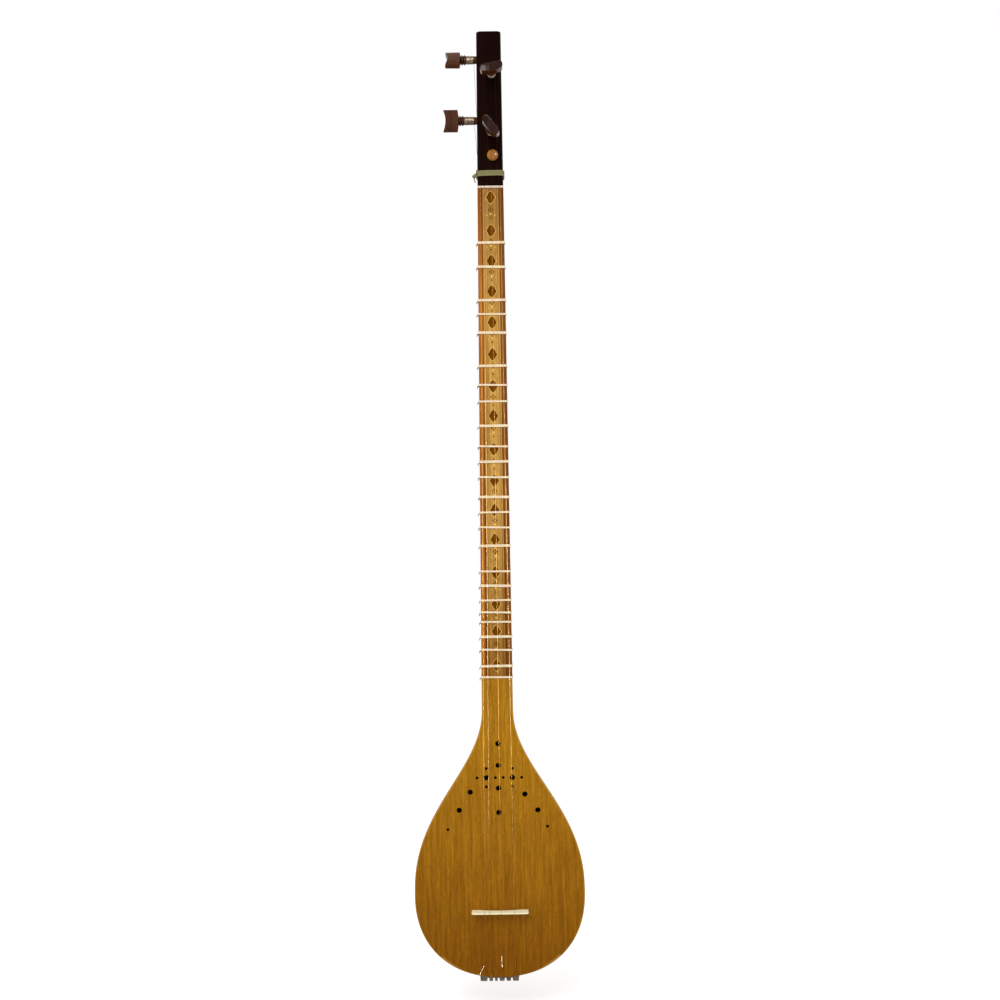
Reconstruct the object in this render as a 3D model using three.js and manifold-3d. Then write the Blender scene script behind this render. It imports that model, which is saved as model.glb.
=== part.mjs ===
import * as THREE from "three";
import { mergeVertices } from "three/addons/utils/BufferGeometryUtils.js";
import Module from "manifold-3d";

// A setar: a long necked lute with a ribbed pear-shaped bowl, four strings, four pegs and tied gut frets.
// Sizes are millimetres. Heights are measured up from the tail end of the bowl, and depths back from the
// front face of the soundboard. The last lines move the origin to the flat back of the head.

// Clearances
const GAP = 0.3;
const SEAM = 0.3;
const PEG_CLEARANCE = 0.1;
const NOSE_CLEARANCE = 0.9;

// Bowl and soundboard
const BODY_HALF_WIDTH = 78.2;
const WIDEST_HEIGHT = 76.5;
const OUTLINE_ROUNDNESS = 2.22;
const SHOULDER_LEAN = 1.19;
const BOWL_DEPTH = 126;
const DEEPEST_HEIGHT = 93;
const PROFILE_ROUNDNESS = 2.1;
const BACK_LEAN = 1.05;
const RIB_COUNT = 9;
const RIB_THICKNESS = 3;
const TAIL_HOLE_RADIUS = 4;
const TAIL_BLOCK_LENGTH = 16;
const NECK_BLOCK_LENGTH = 24;
const NECK_BELOW_LAST_FRET = 30.7;
const PLATE_THICKNESS = 2.5;

// Sound holes, as distances below the place where the neck meets the bowl
const LARGE_HOLE_RADIUS = 2.5;
const SMALL_HOLE_RADIUS = 1.4;
const HOLE_COLUMN_DROPS = [30.1, 50.1, 71.0, 93.3];
const HOLE_RING_CENTRES = [-11.1, 12.9];
const HOLE_RING_DROP = 61.3;
const HOLE_RING_RADIUS = 8.4;
const HOLE_ARMS = [
  { x: -25.9, drop: 74.4, radius: LARGE_HOLE_RADIUS },
  { x: 24.1, drop: 76.7, radius: LARGE_HOLE_RADIUS },
  { x: -36.2, drop: 90.8, radius: LARGE_HOLE_RADIUS },
  { x: 35.9, drop: 91.4, radius: LARGE_HOLE_RADIUS },
  { x: -46.9, drop: 108.4, radius: SMALL_HOLE_RADIUS },
  { x: 44.5, drop: 106.5, radius: SMALL_HOLE_RADIUS },
];

// Strings
const BRIDGE_HEIGHT = 60.9;
const STRING_LENGTH = 663.9;
const STRING_RADIUS = 0.25;

// Each string's peg, the places where it crosses the binding, the nut and the bridge, and its comb notch
const STRINGS = {
  left_outer: { peg: "side_lower", binding: -10.5, nut: -8.7, bridge: -14.2, notch: 0 },
  left_inner: { peg: "side_upper", binding: -9.2, nut: -5.5, bridge: -9.7, notch: 1 },
  middle: { peg: "front_lower", binding: 0.2, nut: 0.9, bridge: 1.1, notch: 3 },
  right: { peg: "front_upper", binding: 6.6, nut: 8.7, bridge: 13.1, notch: 4 },
};

// Neck and fingerboard
const NECK_HALF_WIDTH_AT_NUT = 11.9;
const NECK_HALF_WIDTH_AT_BODY = 14.4;
const NECK_DEPTH_AT_NUT = 21;
const NECK_DEPTH_AT_BODY = 25;
const PANEL_HALF_WIDTH_AT_NUT = 6.5;
const PANEL_HALF_WIDTH_AT_BODY = 7.6;
const NUT_THICKNESS = 2;
const NUT_RISE = 1;

// Frets, as intervals above the open string in cents, and the number of turns of gut in each
const FRET_CENTS = [
  139, 203, 295, 335, 390, 492, 554, 609, 694, 769, 827, 888, 969, 1034, 1101, 1186, 1312, 1387, 1466,
  1535, 1591, 1682, 1767, 1878, 1959,
];
const BROAD_FRETS = [1, 2, 3, 5, 6, 9, 11, 13, 16, 18, 22, 24];
const GUT_DIAMETER = 0.6;
const BROAD_TURNS = 4;
const NARROW_TURNS = 3;
const FRET_TRAVEL = 3;

// Bridge
const BRIDGE_HALF_LENGTH = 26;
const BRIDGE_RISE = 10.5;
const BRIDGE_THICKNESS = 2;
const BRIDGE_FOOT = 8;
const BRIDGE_ARCH = 2.6;
const BRIDGE_SHOULDER_DROP = 1.6;
const BRIDGE_TRAVEL_TO_TAIL = 2;

// String comb at the tail
const COMB_CENTRE = -1.2;
const COMB_HALF_WIDTH = 17.7;
const COMB_REACH = 4.4;
const COMB_THICKNESS = 7;
const COMB_NOTCHES = [-10.4, -5.2, -1, 5.4, 11.2];
const COMB_NOTCH_WIDTH = 1.5;
const COMB_NOTCH_DEPTH = 3.1;

// Head
const HEAD_LENGTH = 142.9;
const HEAD_HALF_WIDTH_AT_TOP = 11.3;
const HEAD_DEPTH = 22;
const HEAD_STEP = 2;
const HEAD_FRONT_ROUNDING = 4;
const HEAD_BACK_ROUNDING = 1.5;
const HEAD_CROWN = 1.4;
const MOUNT_BELOW_TOP = 17.4;

// Pegs, with each height measured from the nut, and the length of shank that stands out of the head. In
// degrees about a peg's own axis: how far its handle is turned, and where the string leaves its shank. The
// sense is the way the string runs round toward there.
const PEGS = {
  side_upper: { height: 118.8, side: true, exposed: 9.7, turn: 42, leaves: -90, sense: -1 },
  side_lower: { height: 62.8, side: true, exposed: 12, turn: 0, leaves: -90, sense: -1 },
  front_upper: { height: 103.2, side: false, across: 2.3, exposed: 12, turn: 12, leaves: 0, sense: -1 },
  front_lower: { height: 50.2, side: false, across: 1.1, exposed: 12, turn: -53, leaves: 180, sense: 1 },
};
const SIDE_PEG_DEPTH = 6.5;
const SHANK_RADIUS = 3.5;
const SHANK_TAPER = 0.02;
const SHANK_SHORT_OF_BACK = 0.4;
const COLLAR_LENGTH = 2.3;
const COLLAR_RADIUS = 4.7;
const HANDLE_LENGTH = 14.6;
const HANDLE_WIDTH = 20.4;
const HANDLE_THICKNESS = 8;
const HANDLE_HOLLOW = 2.3;
const HANDLE_SLOPE = 1;
const HANDLE_ROUNDING = 2.6;
const WINDING_START = 2;
const WINDING_TURNS = 5;
const WINDING_PITCH = 1.4;

// Guide pin and string binding, with each height measured from the nut
const PIN_HEIGHT = 29.2;
const PIN_ACROSS = 2.4;
const PIN_SHANK_RADIUS = 1.5;
const PIN_DEPTH = 9;
const PIN_HEAD_RADIUS = 5.2;
const PIN_HEAD_RISE = 3.6;
const PIN_DOME = [
  { across: 1, up: 0.25 },
  { across: 0.8, up: 0.7 },
  { across: 0.4, up: 0.95 },
  { across: 0, up: 1 },
];
const BINDING_HEIGHT = 12.8;
const BINDING_TURNS = 4;
const BINDING_PITCH = 1.65;
const BINDING_CORD_RADIUS = 0.6;

// Facets
const BOWL_STATIONS = 24;
const STATION_SPREAD = [
  { share: 0.62, power: 2.6 },
  { share: 0.38, power: 1.2 },
];
const SLOPE_STEP = 0.01;
const RIB_FACETS = 2;
const BACK_FACETS = 12;
const CORNER_FACETS = 3;
const HOLE_SIDES = 10;
const ROUND_SIDES = 16;
const SHANK_SIDES = 24;
const CURVE_SEGMENTS = 8;
const STRING_SIDES = 6;
const CORD_SIDES = 6;
const WINDING_SIDES = 5;
const WINDING_STEPS = 16;
const OVERCUT = 1;
const WELD_DISTANCE = 1e-4;

const rimDepth = PLATE_THICKNESS + GAP;
const nutHeight = BRIDGE_HEIGHT + STRING_LENGTH;
const neckTop = nutHeight + NUT_THICKNESS / 2;
const headBottom = neckTop + GAP;
const headTop = headBottom + HEAD_LENGTH;
const headFront = HEAD_STEP;
const headBack = HEAD_STEP + HEAD_DEPTH;
const underString = GAP + 2 * STRING_RADIUS + GAP;
const fretHeights = FRET_CENTS.map((cents) => BRIDGE_HEIGHT + STRING_LENGTH * 2 ** (-cents / 1200));
const fingerboardEnd = fretHeights[fretHeights.length - 1];
const shoulderHeight = fingerboardEnd - NECK_BELOW_LAST_FRET;

const wasm = await Module();
wasm.setup();

const woods = {
  soundboard: { color: 0xa5691f, roughness: 0.45, metalness: 0 },
  bowl: { color: 0x8a5424, roughness: 0.4, metalness: 0 },
  neck: { color: 0x7a4320, roughness: 0.4, metalness: 0 },
  head: { color: 0x241010, roughness: 0.35, metalness: 0 },
  panel: { color: 0xbe9136, roughness: 0.4, metalness: 0 },
  strip: { color: 0x92501e, roughness: 0.4, metalness: 0 },
  bone: { color: 0xf5e8cc, roughness: 0.4, metalness: 0 },
  horn: { color: 0x6a5c4e, roughness: 0.5, metalness: 0 },
  gut: { color: 0xf7ead0, roughness: 0.6, metalness: 0 },
  cord: { color: 0x979060, roughness: 0.8, metalness: 0 },
  peg: { color: 0x6b3f24, roughness: 0.35, metalness: 0 },
  pin: { color: 0xaa742e, roughness: 0.3, metalness: 0 },
  steel: { color: 0xd8c9a4, roughness: 0.25, metalness: 0.9 },
};

function mix(a, b, t) {
  return a + (b - a) * t;
}

// The half width or depth of the pear shape: a rounded tail up to its fullest height, then a long
// shoulder that eases into the neck.
function pear(height, full, fullHeight, roundness, end, lean) {
  if (height <= fullHeight) {
    const rest = Math.max(0, 1 - height / fullHeight);
    return full * (1 - rest ** roundness) ** (1 / roundness);
  }
  const t = Math.min(1, (height - fullHeight) / (shoulderHeight - fullHeight));
  return end + ((full - end) * (1 + Math.cos(Math.PI * t ** lean))) / 2;
}

function neckShare(height) {
  return Math.max(0, (height - shoulderHeight) / (nutHeight - shoulderHeight));
}

function halfWidth(height) {
  if (height > shoulderHeight)
    return mix(NECK_HALF_WIDTH_AT_BODY, NECK_HALF_WIDTH_AT_NUT, neckShare(height));
  return pear(
    height, BODY_HALF_WIDTH, WIDEST_HEIGHT, OUTLINE_ROUNDNESS, NECK_HALF_WIDTH_AT_BODY, SHOULDER_LEAN,
  );
}

function depthBehindRim(height) {
  if (height > shoulderHeight)
    return mix(NECK_DEPTH_AT_BODY, NECK_DEPTH_AT_NUT, neckShare(height));
  return pear(
    height, BOWL_DEPTH, DEEPEST_HEIGHT, PROFILE_ROUNDNESS, NECK_DEPTH_AT_BODY, BACK_LEAN,
  );
}

function panelHalfWidth(height) {
  return mix(PANEL_HALF_WIDTH_AT_BODY, PANEL_HALF_WIDTH_AT_NUT, neckShare(height));
}

function headHalfWidth(height) {
  const t = (height - headBottom) / HEAD_LENGTH;
  return mix(NECK_HALF_WIDTH_AT_NUT, HEAD_HALF_WIDTH_AT_TOP, t);
}

// Joins rings of equal length into one closed solid, with a fan of triangles on each end.
function loft(rings) {
  const sides = rings[0].length;
  const position = rings.flat().flatMap((p) => [p.x, p.y, p.z]);
  const index = [];
  for (let r = 0; r + 1 < rings.length; r++) {
    for (let i = 0; i < sides; i++) {
      const a = r * sides + i;
      const b = r * sides + ((i + 1) % sides);
      index.push(a, b, b + sides, a, b + sides, a + sides);
    }
  }
  const last = (rings.length - 1) * sides;
  for (let i = 1; i + 1 < sides; i++) {
    index.push(0, i + 1, i);
    index.push(last, last + i, last + i + 1);
  }
  const geometry = new THREE.BufferGeometry();
  geometry.setAttribute("position", new THREE.Float32BufferAttribute(position, 3));
  geometry.setIndex(index);
  return outward(geometry);
}

// Turns every face round where the solid came out inside out.
function outward(geometry) {
  const p = geometry.attributes.position;
  const corner = [0, 1, 2].map(() => new THREE.Vector3());
  const index = geometry.index.array;
  let volume = 0;
  for (let i = 0; i < index.length; i += 3) {
    corner.forEach((c, k) => c.fromBufferAttribute(p, index[i + k]));
    volume += corner[0].dot(corner[1].cross(corner[2]));
  }
  if (volume < 0) {
    for (let i = 0; i < index.length; i += 3) {
      [index[i], index[i + 1]] = [index[i + 1], index[i]];
    }
  }
  geometry.computeVertexNormals();
  return geometry;
}

// A round tube along a list of points, carried round bends without twisting.
function tube(points, radius, sides) {
  const runs = points.slice(1).map((p, i) => p.clone().sub(points[i]).normalize());
  const directions = points.map((p, i) => {
    const before = runs[Math.max(0, i - 1)];
    const after = runs[Math.min(runs.length - 1, i)];
    return before.clone().add(after).normalize();
  });
  const start = Math.abs(directions[0].x) < 0.7 ? new THREE.Vector3(1, 0, 0) : new THREE.Vector3(0, 1, 0);
  let normal = start.sub(directions[0].clone().multiplyScalar(start.dot(directions[0]))).normalize();
  const rings = points.map((p, i) => {
    if (i > 0) {
      const turn = new THREE.Quaternion().setFromUnitVectors(directions[i - 1], directions[i]);
      normal = normal.clone().applyQuaternion(turn);
    }
    const binormal = directions[i].clone().cross(normal);
    return Array.from({ length: sides }, (_, k) => {
      const angle = (2 * Math.PI * k) / sides;
      return p
        .clone()
        .addScaledVector(normal, radius * Math.cos(angle))
        .addScaledVector(binormal, radius * Math.sin(angle));
    });
  });
  return loft(rings);
}

// The least gap between the turns of a tube, measured between points that lie half a turn or more apart.
function leastGap(points, radius, stepsInTurn) {
  let least = Infinity;
  points.forEach((p, i) => {
    points.slice(i + Math.ceil(stepsInTurn / 2)).forEach((q) => {
      least = Math.min(least, p.distanceTo(q) - 2 * radius);
    });
  });
  return least;
}

function toSolid(geometry) {
  const bare = geometry.clone();
  bare.deleteAttribute("normal");
  bare.deleteAttribute("uv");
  const merged = outward(mergeVertices(bare, WELD_DISTANCE));
  return new wasm.Manifold(
    new wasm.Mesh({
      numProp: 3,
      vertProperties: new Float32Array(merged.attributes.position.array),
      triVerts: new Uint32Array(merged.index.array),
    }),
  );
}

function toGeometry(solid) {
  const mesh = solid.getMesh();
  const geometry = new THREE.BufferGeometry();
  geometry.setAttribute("position", new THREE.BufferAttribute(mesh.vertProperties, 3));
  geometry.setIndex(new THREE.BufferAttribute(mesh.triVerts, 1));
  geometry.computeVertexNormals();
  return geometry;
}

function piece(name, geometry, wood) {
  const material = new THREE.MeshStandardMaterial({ ...woods[wood], side: THREE.FrontSide });
  const mesh = new THREE.Mesh(geometry, material);
  mesh.name = name;
  return mesh;
}

// A flat plate seen from the front: the shape's second coordinate is height.
function plate(shape, thickness, frontDepth) {
  const geometry = new THREE.ExtrudeGeometry(shape, { depth: thickness, bevelEnabled: false });
  return geometry.rotateX(Math.PI / 2).translate(0, frontDepth + thickness, 0);
}

function shapeOf(points) {
  return new THREE.Shape(points.map(([x, y]) => new THREE.Vector2(x, y)));
}

function circlePath(x, y, radius, sides) {
  const points = Array.from({ length: sides }, (_, k) => {
    const angle = (2 * Math.PI * k) / sides;
    return new THREE.Vector2(x + radius * Math.cos(angle), y + radius * Math.sin(angle));
  });
  return new THREE.Path(points);
}

// Heights crowded toward the tail, where the outline turns fastest.
function bowlHeights(from, to, count) {
  return Array.from({ length: count }, (_, i) => {
    const t = i / (count - 1);
    const shares = STATION_SPREAD.map(({ share, power }) => share * t ** power);
    return mix(from, to, shares.reduce((sum, share) => sum + share));
  });
}

// The height near the tail end at which the bowl is as wide as the hole that its ribs leave there.
function tailHoleHeight() {
  const narrow = (TAIL_HOLE_RADIUS / BODY_HALF_WIDTH) ** OUTLINE_ROUNDNESS;
  return WIDEST_HEIGHT * (1 - (1 - narrow) ** (1 / OUTLINE_ROUNDNESS));
}

// A point on the bowl, where angle runs from the right rim (0) round the back to the left rim (pi), and
// inset moves the point in along the surface's normal.
function bowlPoint(height, angle, inset) {
  const step = SLOPE_STEP * Math.min(height, 1);
  const w = halfWidth(height);
  const d = depthBehindRim(height);
  const dw = (halfWidth(height + step) - halfWidth(height - step)) / (2 * step);
  const dd = (depthBehindRim(height + step) - depthBehindRim(height - step)) / (2 * step);
  const c = Math.cos(angle);
  const s = Math.sin(angle);
  const inward = new THREE.Vector3(-d * c, -w * s, dw * d * c * c + dd * w * s * s).normalize();
  return new THREE.Vector3(w * c, rimDepth + d * s, height).addScaledVector(inward, inset);
}

// The heights of the rings that the bowl's faceted surface is made from.
const bowlStations = bowlHeights(tailHoleHeight(), shoulderHeight, BOWL_STATIONS);

// Half round rings across the inside of the bowl, each closed by the straight line along the rim. They
// share the ribs' own facets, and the first and last are worked out between two of those.
function bowlRings(from, to, inset) {
  const facets = RIB_COUNT * RIB_FACETS;
  const ring = (height) =>
    Array.from({ length: facets + 1 }, (_, i) => bowlPoint(height, (Math.PI * i) / facets, inset));
  const between = (height) => {
    const above = Math.max(1, bowlStations.findIndex((station) => station >= height));
    const [low, high] = [bowlStations[above - 1], bowlStations[above]];
    const top = ring(high);
    return ring(low).map((p, i) => p.lerp(top[i], (height - low) / (high - low)));
  };
  const inside = bowlStations.filter((station) => station > from && station < to);
  return [between(from), ...inside.map(ring), between(to)];
}

// The angle that the bowl's surface turns through in one length at a seam between two ribs.
function seamAngle(height, angle, length) {
  const across = halfWidth(height) * Math.sin(angle);
  const back = depthBehindRim(height) * Math.cos(angle);
  return length / Math.hypot(across, back);
}

function rib(number) {
  const from = (Math.PI * number) / RIB_COUNT;
  const to = (Math.PI * (number + 1)) / RIB_COUNT;
  const rings = bowlStations.map((height) => {
    const first = from + (number > 0 ? seamAngle(height, from, SEAM / 2) : 0);
    const last = to - (number < RIB_COUNT - 1 ? seamAngle(height, to, SEAM / 2) : 0);
    const angles = Array.from({ length: RIB_FACETS + 1 }, (_, i) => mix(first, last, i / RIB_FACETS));
    const outer = angles.map((angle) => bowlPoint(height, angle, 0));
    const inner = angles.reverse().map((angle) => bowlPoint(height, angle, RIB_THICKNESS));
    return [...outer, ...inner];
  });
  return piece(`rib_${number + 1}`, loft(rings), "bowl");
}

// The block that closes the tail end, with a nose that fills the small hole where the ribs meet.
function tailBlock() {
  const rings = bowlRings(tailHoleHeight(), TAIL_BLOCK_LENGTH, RIB_THICKNESS + GAP);
  const noseRadius = TAIL_HOLE_RADIUS - NOSE_CLEARANCE;
  const facets = rings[0].length - 1;
  const nose = (height) =>
    rings[0].map((_, i) => {
      const angle = (Math.PI * i) / facets;
      const depth = rimDepth + noseRadius * Math.sin(angle);
      return new THREE.Vector3(noseRadius * Math.cos(angle), depth, height);
    });
  return piece("tail_block", loft([nose(tailHoleHeight()), nose(rings[0][0].z), ...rings]), "bowl");
}

function neckBlock() {
  const bottom = shoulderHeight - NECK_BLOCK_LENGTH;
  const rings = bowlRings(bottom, shoulderHeight, RIB_THICKNESS + GAP);
  return piece("neck_block", loft(rings), "neck");
}

function soundboard() {
  const top = fingerboardEnd - GAP / 2;
  const right = [...bowlStations, top].map((height) => [halfWidth(height), height]);
  const left = right.map(([x, height]) => [-x, height]).reverse();
  const shape = shapeOf([...right, ...left]);
  for (const { x, y, radius } of soundHoles()) shape.holes.push(circlePath(x, y, radius, HOLE_SIDES));
  return piece("soundboard", plate(shape, PLATE_THICKNESS, 0), "soundboard");
}

function soundHoles() {
  const below = (drop) => shoulderHeight - drop;
  const ringHeight = below(HOLE_RING_DROP);
  const holes = HOLE_COLUMN_DROPS.map((drop) => ({ x: 0, y: below(drop), radius: LARGE_HOLE_RADIUS }));
  for (const x of HOLE_RING_CENTRES) {
    holes.push({ x, y: ringHeight, radius: LARGE_HOLE_RADIUS });
    for (let quarter = 0; quarter < 4; quarter++) {
      const angle = (Math.PI / 2) * quarter;
      holes.push({
        x: x + HOLE_RING_RADIUS * Math.cos(angle),
        y: ringHeight + HOLE_RING_RADIUS * Math.sin(angle),
        radius: SMALL_HOLE_RADIUS,
      });
    }
  }
  for (const { x, drop, radius } of HOLE_ARMS) holes.push({ x, y: below(drop), radius });
  return holes;
}

// The outline of the neck, grown by a clearance, as a ring at one height. The front lies at depth front.
function neckRing(height, front, grow) {
  const w = halfWidth(height) + grow;
  const d = depthBehindRim(height) + grow;
  const back = Array.from({ length: BACK_FACETS + 1 }, (_, i) => {
    const angle = (Math.PI * i) / BACK_FACETS;
    return new THREE.Vector3(w * Math.cos(angle), rimDepth + d * Math.sin(angle), height);
  });
  if (front >= rimDepth) return back;
  return [new THREE.Vector3(w, front, height), ...back, new THREE.Vector3(-w, front, height)];
}

function neck() {
  const bottom = shoulderHeight + GAP;
  const rings = [bottom, neckTop].map((height) => neckRing(height, rimDepth, 0));
  return piece("neck", loft(rings), "neck");
}

// A length of the fingerboard, between two edges that follow the neck's taper.
function fingerboardLength(name, leftEdge, rightEdge, wood) {
  const bottom = fingerboardEnd + GAP / 2;
  const top = nutHeight - NUT_THICKNESS / 2 - GAP;
  const shape = shapeOf([
    [leftEdge(bottom), bottom],
    [rightEdge(bottom), bottom],
    [rightEdge(top), top],
    [leftEdge(top), top],
  ]);
  return piece(name, plate(shape, PLATE_THICKNESS, 0), wood);
}

// The fingerboard: a middle panel with a strip along each side.
function fingerboard() {
  const panelEdge = (height) => panelHalfWidth(height) - GAP / 2;
  const stripEdge = (height) => panelHalfWidth(height) + GAP / 2;
  const mirrored = (edge) => (height) => -edge(height);
  return [
    fingerboardLength("fingerboard_panel", mirrored(panelEdge), panelEdge, "panel"),
    fingerboardLength("fingerboard_strip_left", mirrored(halfWidth), mirrored(stripEdge), "strip"),
    fingerboardLength("fingerboard_strip_right", stripEdge, halfWidth, "strip"),
  ];
}

function nut() {
  const w = NECK_HALF_WIDTH_AT_NUT;
  const shape = shapeOf([
    [-w, nutHeight - NUT_THICKNESS / 2],
    [w, nutHeight - NUT_THICKNESS / 2],
    [w, nutHeight + NUT_THICKNESS / 2],
    [-w, nutHeight + NUT_THICKNESS / 2],
  ]);
  return piece("nut", plate(shape, NUT_RISE + PLATE_THICKNESS, -NUT_RISE), "bone");
}

// A tied fret: a closed band of gut round the neck, which clears the neck over its whole travel.
function fret(number) {
  const height = fretHeights[number - 1];
  const turns = BROAD_FRETS.includes(number) ? BROAD_TURNS : NARROW_TURNS;
  const width = turns * GUT_DIAMETER;
  const widest = Math.max(shoulderHeight, height - width / 2 - FRET_TRAVEL);
  const band = (grow) => neckRing(widest, -grow, grow).map((p) => new THREE.Vector2(p.x, p.y));
  const shape = new THREE.Shape(band(GAP + GUT_DIAMETER));
  shape.holes.push(new THREE.Path(band(GAP)));
  const geometry = new THREE.ExtrudeGeometry(shape, { depth: width, bevelEnabled: false });
  const mesh = piece(`fret_${String(number).padStart(2, "0")}`, geometry, "gut");
  mesh.position.z = height - width / 2;
  return mesh;
}

// The bridge stands on two feet, with a low arch between them and a top edge that falls at each end.
function bridge() {
  const half = BRIDGE_HALF_LENGTH;
  const foot = half - BRIDGE_FOOT;
  const shape = new THREE.Shape();
  shape.moveTo(-half, GAP);
  shape.lineTo(-foot, GAP);
  shape.quadraticCurveTo(0, GAP + 2 * BRIDGE_ARCH, foot, GAP);
  shape.lineTo(half, GAP);
  shape.lineTo(half, BRIDGE_RISE - BRIDGE_SHOULDER_DROP);
  shape.quadraticCurveTo(half, BRIDGE_RISE, half - 2 * BRIDGE_SHOULDER_DROP, BRIDGE_RISE);
  shape.lineTo(-half + 2 * BRIDGE_SHOULDER_DROP, BRIDGE_RISE);
  shape.quadraticCurveTo(-half, BRIDGE_RISE, -half, BRIDGE_RISE - BRIDGE_SHOULDER_DROP);
  const options = { depth: BRIDGE_THICKNESS, bevelEnabled: false, curveSegments: CURVE_SEGMENTS };
  const geometry = new THREE.ExtrudeGeometry(shape, options);
  geometry.rotateX(Math.PI);
  const mesh = piece("bridge", geometry.translate(0, 0, BRIDGE_THICKNESS / 2), "bone");
  mesh.position.z = BRIDGE_HEIGHT;
  return mesh;
}

// The comb that the strings are hooked to, cut to the curve of the bowl's tail end.
function stringComb() {
  const half = COMB_HALF_WIDTH;
  const root = COMB_NOTCH_DEPTH - COMB_REACH;
  const points = [[half, -COMB_REACH], [half, COMB_REACH], [-half, COMB_REACH], [-half, -COMB_REACH]];
  for (const notch of COMB_NOTCHES) {
    const left = notch - COMB_NOTCH_WIDTH / 2;
    const right = notch + COMB_NOTCH_WIDTH / 2;
    points.push([left, -COMB_REACH], [left, root], [right, root], [right, -COMB_REACH]);
  }
  const block = plate(shapeOf(points), COMB_THICKNESS, rimDepth).translate(COMB_CENTRE, 0, 0);
  const rings = bowlRings(tailHoleHeight(), BODY_HALF_WIDTH, -GAP);
  for (const ring of rings) {
    for (const p of [ring[0], ring[ring.length - 1]]) p.y -= GAP;
  }
  const comb = toSolid(block).subtract(toSolid(loft(rings)));
  return piece("string_comb", toGeometry(comb), "horn");
}

// The outline of the head at one height, with rounded edges, grown on each side.
function headRing(height, grow, growFront) {
  const w = headHalfWidth(height) + grow;
  const front = headFront - growFront;
  const back = headBack + grow;
  const corners = [
    { x: w, y: back, radius: HEAD_BACK_ROUNDING + grow },
    { x: -w, y: back, radius: HEAD_BACK_ROUNDING + grow },
    { x: -w, y: front, radius: HEAD_FRONT_ROUNDING + grow },
    { x: w, y: front, radius: HEAD_FRONT_ROUNDING + grow },
  ];
  return corners.flatMap((corner, quarter) => {
    const { radius } = corner;
    const centreX = corner.x - Math.sign(corner.x) * radius;
    const centreY = corner.y === back ? corner.y - radius : corner.y + radius;
    return Array.from({ length: CORNER_FACETS + 1 }, (_, i) => {
      const angle = (Math.PI / 2) * (quarter + i / CORNER_FACETS);
      const x = centreX + radius * Math.cos(angle);
      return new THREE.Vector3(x, centreY + radius * Math.sin(angle), height);
    });
  });
}

// The depth of a peg's axis, and where its head and shank meet the outside of the instrument's head.
function pegPlace(peg) {
  const z = nutHeight + peg.height;
  if (!peg.side) return { x: peg.across, y: headFront, z, span: HEAD_DEPTH };
  const half = headHalfWidth(z);
  return { x: -half, y: headFront + SIDE_PEG_DEPTH, z, span: 2 * half };
}

function shankRadius(outward) {
  return SHANK_RADIUS + SHANK_TAPER * outward;
}

// A group whose own third axis points along a peg, out of the head.
function pegFrame(peg) {
  const place = pegPlace(peg);
  const frame = new THREE.Group();
  frame.position.set(place.x, place.y, place.z);
  if (peg.side) frame.rotation.set(0, -Math.PI / 2, 0);
  else frame.rotation.set(Math.PI / 2, 0, 0);
  frame.updateMatrixWorld(true);
  return frame;
}

function head() {
  const bottom = headRing(headBottom, 0, 0);
  const top = headRing(headTop - HEAD_CROWN, 0, 0);
  const centre = (headFront + headBack) / 2;
  const crown = headRing(headTop, 0, 0).map((p) => {
    const inset = 1 - HEAD_CROWN / headHalfWidth(headTop);
    return new THREE.Vector3(p.x * inset, centre + (p.y - centre) * inset, p.z);
  });
  let solid = toSolid(loft([bottom, top, crown]));
  for (const peg of Object.values(PEGS)) {
    const { span } = pegPlace(peg);
    const frame = pegFrame(peg);
    const ends = [-span - OVERCUT, OVERCUT];
    const profile = [
      new THREE.Vector2(0, ends[0]),
      ...ends.map((z) => new THREE.Vector2(shankRadius(z) + PEG_CLEARANCE, z)),
      new THREE.Vector2(0, ends[1]),
    ];
    const bore = new THREE.LatheGeometry(profile, SHANK_SIDES).rotateX(Math.PI / 2);
    solid = solid.subtract(toSolid(bore.applyMatrix4(frame.matrixWorld)));
  }
  const pinRadius = PIN_SHANK_RADIUS + GAP;
  const pinLength = 2 * (PIN_DEPTH + GAP);
  const pinBore = new THREE.CylinderGeometry(pinRadius, pinRadius, pinLength, ROUND_SIDES);
  pinBore.translate(PIN_ACROSS, headFront, nutHeight + PIN_HEIGHT);
  return piece("head", toGeometry(solid.subtract(toSolid(pinBore))), "head");
}

// The flat handle: a near square outline with a hollow outer edge, thinned to a lens.
function pegHandle(bottom) {
  const half = HANDLE_WIDTH / 2;
  const top = bottom + HANDLE_LENGTH;
  const shoulder = bottom + HANDLE_SLOPE;
  const outline = new THREE.Shape();
  outline.moveTo(-SHANK_RADIUS, bottom);
  outline.lineTo(SHANK_RADIUS, bottom);
  outline.lineTo(half - HANDLE_ROUNDING, shoulder);
  outline.quadraticCurveTo(half, shoulder, half, shoulder + HANDLE_ROUNDING);
  outline.lineTo(half, top);
  outline.quadraticCurveTo(0, top - 2 * HANDLE_HOLLOW, -half, top);
  outline.lineTo(-half, shoulder + HANDLE_ROUNDING);
  outline.quadraticCurveTo(-half, shoulder, HANDLE_ROUNDING - half, shoulder);
  const options = { depth: 2 * HANDLE_THICKNESS, bevelEnabled: false, curveSegments: CURVE_SEGMENTS };
  const slab = new THREE.ExtrudeGeometry(outline, options);
  slab.translate(0, 0, -HANDLE_THICKNESS).rotateX(Math.PI / 2);
  const lens = new THREE.Shape();
  lens.absellipse(0, 0, half + OVERCUT, HANDLE_THICKNESS / 2, 0, 2 * Math.PI);
  const core = new THREE.ExtrudeGeometry(lens, { ...options, depth: HANDLE_LENGTH + 2 * OVERCUT });
  core.translate(0, 0, bottom - OVERCUT);
  return toSolid(slab).intersect(toSolid(core));
}

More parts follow.
